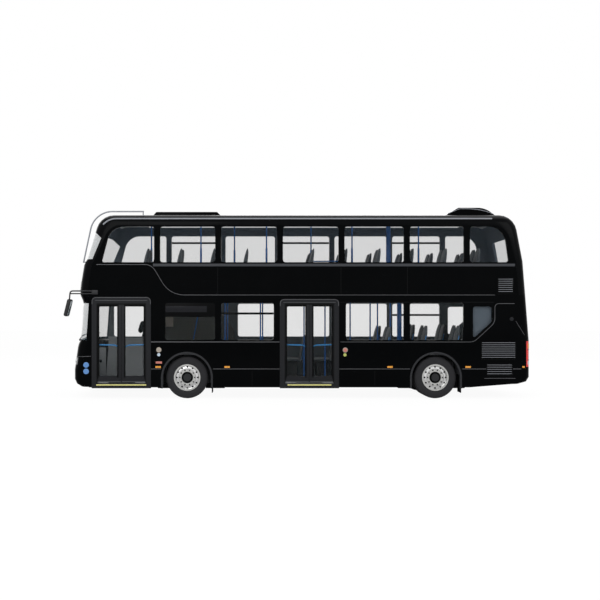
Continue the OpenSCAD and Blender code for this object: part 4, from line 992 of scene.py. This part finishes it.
def wheel_faces():
    """On each wheel a trim with a dark sheet behind it that paints the shade seen through the hand holes, a
    dark hub cover, and a raised ring with ten nuts.
    """
    ring_r = 0.196
    ring = [(HUB_R, -0.019), (HUB_R, 0.002), (0.190, 0.002), (ring_r, -0.004), (ring_r, -0.019),
            (HUB_R, -0.019)]
    # Dead black sheet behind the trim: painted shade, so that the hand holes read black
    sheet = [(ring_r, -0.0177), (TRIM_R, -0.0177), (TRIM_R, -0.017), (ring_r, -0.017), (ring_r, -0.0177)]
    cover = [(0.0855, -0.0035), (0.0855, 0.004), (0.126, 0.004), (0.1305, -0.0035), (0.0855, -0.0035)]
    bolts = np.insert(circle(0.168, 10), 1, 0, axis=1)
    for wheel, x, s in WHEELS:
        middle = [along(x), s * (WHEEL_Y + TRIM_FACE), TYRE_R]
        nuts = [hex_nut(spot, s, 0.015, 0.024) for spot in bolts + middle]
        # dark holds the painted shade sheet behind the trim and the hub cover, which is dark in its own
        # colour
        dark = [lathe(sheet, middle, s, 64), lathe(cover, middle, s, 64)]
        piece(f"{wheel}_nuts", nuts, PLASTIC, wheel, 25)
        piece(wheel.replace("wheel", "nut_ring"), lathe(ring, middle, s, 64), ALLOY, wheel, 25)
        piece(f"{wheel}_trim", wheel_trim(x, s), TRIM, wheel, 30)
        piece(f"{wheel}_sheet", dark, MASK, wheel, 25)


def seat_rows():
    """Back line, middle, floor height and width of each seat, as on the solids."""
    pitch, width = 0.750, 0.860
    side = INNER - 0.015 - width / 2
    rows = [(1.650 + i * pitch, -side, DECK_Z, width) for i in range(11)]
    rows += [(1.650 + i * pitch, side, DECK_Z, width) for i in (0, 4, 5, 6, 7, 8, 9, 10)]
    rows += [(x, side, FLOOR_Z, width) for x in (4.550, 5.300, 6.050)]
    rows += [(x, s * side, REAR_FLOOR_Z, width) for x in (7.130, 9.340) for s in (-1, 1)]
    rows += [(x, s * side, 2 * TYRE_R + 0.05 - SEAT_H, width) for x in (7.960, 8.700) for s in (-1, 1)]
    rows.append((1.340, DRIVER_Y, FLOOR_Z + 0.15, 0.480))
    return rows


def pad(spine, half_w, half_t, thick_way, sides=20):
    """A crowned pad: superellipse sections of half_w by half_t at each point of a spine in x and z."""
    ring = circle(1.0, sides)
    wide, thick = (np.sign(ring) * np.abs(ring) ** [0.45, 0.7]).T[..., None]
    verts = (spine[:, None] + half_w[:, None, None] * wide * np.array([0, 1, 0])
             + half_t[:, None, None] * thick * np.asarray(thick_way))
    return verts.reshape(-1, 3), capped(len(spine), sides)


def seats():
    """High-backed seats: a leaning back with round shoulders and a crowned cushion for each place, and piping
    up the edges of the lower deck's backs."""
    backs, cushions, welts = [], [], []
    v = np.linspace(0, 1, 18)
    ends = np.sqrt(np.clip(1 - np.clip((np.abs(v - 0.5) - 0.42) / 0.08, 0, 1) ** 2, 0.02, 1))
    head = 1 - 0.38 * np.clip((v - 0.60) / 0.40, 0, 1) ** 2
    belly = 0.043 * np.sqrt(1 - ((v - 0.32) / 0.69) ** 2)
    for x, y, floor, width in seat_rows():
        double = width > 0.6
        places = [y - width / 4, y + width / 4] if double else [y]
        half = width / (2 * len(places)) - 0.008
        for middle in places:
            base = np.array([along(x), middle, floor + SEAT_H])
            line = base + xyz(0.035 + 0.112 * v, 0, 0.012 + 0.630 * v)
            backs.append(pad(line, half * head, belly, [0.985, 0, -0.172]))
            if floor < DECK_Z and double:
                edges = [line + xyz(0, s * (half * head - 0.002), 0) for s in (-1, 1)]
                welts += [carry(circle(0.007, 8), edge[1:12], [1, 0, 0]) for edge in edges]
            run = base + xyz(-0.436 + 0.432 * v, 0, 0.040)
            cushions.append(pad(run, half * (0.96 + 0.04 * ends), 0.036 * ends, [0, 0, 1]))
    piece("seat_piping", welts, PIPING)
    back = piece("seat_back_pads", backs, MOQUETTE, angle=60)
    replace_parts(back, "seat_backs")
    cushion = piece("seat_cushion_pads", cushions, MOQUETTE, angle=60)
    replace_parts(cushion, "seat_cushions")


# Stage, light and camera

def seen_by(material, *rays):
    """1 to rays of these kinds, 0 to the others."""
    level = 0.0
    for ray in rays:
        path = add(material, "LightPath", {}, f"Is {ray} Ray")
        level = add(material, "Math", {0: level, 1: path}, operation="MAXIMUM")
    return level


def stage_floor():
    """A pale floor that is white to the camera, apart from a part of the shadow."""
    mesh = bpy.data.meshes.new("studio_floor")
    mesh.from_pydata([[-60, -60, 0], [60, -60, 0], [60, 60, 0], [-60, 60, 0]], [], [[0, 1, 2, 3]])
    stood("studio_floor", mesh)
    material = bpy.data.materials.new("studio_floor")
    material.use_nodes = True
    nodes = material.node_tree.nodes
    nodes.remove(nodes["Principled BSDF"])
    lit = add(material, "BsdfDiffuse", {"Color": linear("#f4f4f4")})
    white = add(material, "Emission", {"Color": (1, 1, 1, 1), "Strength": 1.045})
    seen = seen_by(material, "Camera", "Transmission")
    share = add(material, "Math", {0: seen, 1: 0.9}, operation="MULTIPLY")
    mix = add(material, "MixShader", {0: share, 1: lit, 2: white})
    feed(material, nodes["Material Output"], {"Surface": mix})
    mesh.materials.append(material)


def studio_light():
    """A white world to the camera, mirrors and glass, a softer one to the rest, and three soft lamps."""
    world = bpy.data.worlds.new("studio")
    scene.world = world
    world.use_nodes = True
    seen = seen_by(world, "Camera", "Glossy", "Transmission")
    level = add(world, "MapRange", {0: seen, 3: 0.55, 4: 1.0})
    feed(world, world.node_tree.nodes["Background"], {"Color": (1, 1, 1, 1), "Strength": level})
    lamps = [("key", (-7, -14, 10), 9, 900), ("fill", (12, -10, 9), 7, 500), ("back", (2, 12, 9), 9, 500)]
    for name, place, size, power in lamps:
        data = bpy.data.lights.new(name, "AREA")
        data.size = size
        data.energy = power
        lamp = stood(name, data)
        lamp.location = place
        aim = np.array([0, 0, 1.8]) - np.array(place)
        tilt = np.arctan2(np.hypot(aim[0], aim[1]), -aim[2])
        lamp.rotation_euler = (tilt, 0, np.arctan2(aim[1], aim[0]) - np.pi / 2)


def camera():
    """A level camera square to the door side; its shift puts the view's middle where the photo has it. The
    focal length and the shifts are pixels of a picture of that width."""
    width, focal, shift_x, shift_y = 600, 830, 41, 10
    data = bpy.data.cameras.new("camera")
    data.sensor_width = 36
    data.lens = focal / width * 36
    data.shift_x = shift_x / width
    data.shift_y = shift_y / width
    data.clip_end = 200
    eye = stood("camera", data)
    eye.location = (-0.930, -19.865, 1.989)
    eye.rotation_euler = (np.pi / 2, 0, 0)
    scene.camera = eye


camera()
stage_floor()
studio_light()
dress_shell()
dress_inside()
dress_running_gear()
dress_doors()
side_mouldings()
cant_strips()
side_fittings()
louvre_edges()
window_fittings()
light_strips()
upper_rails()
cab_fittings()
steering_wheel()
pod_edges()
front_fittings()
end_lamps()
mirrors()
door_trims()
tyres()
wheel_faces()
seats()

scene.view_settings.view_transform = "Standard"
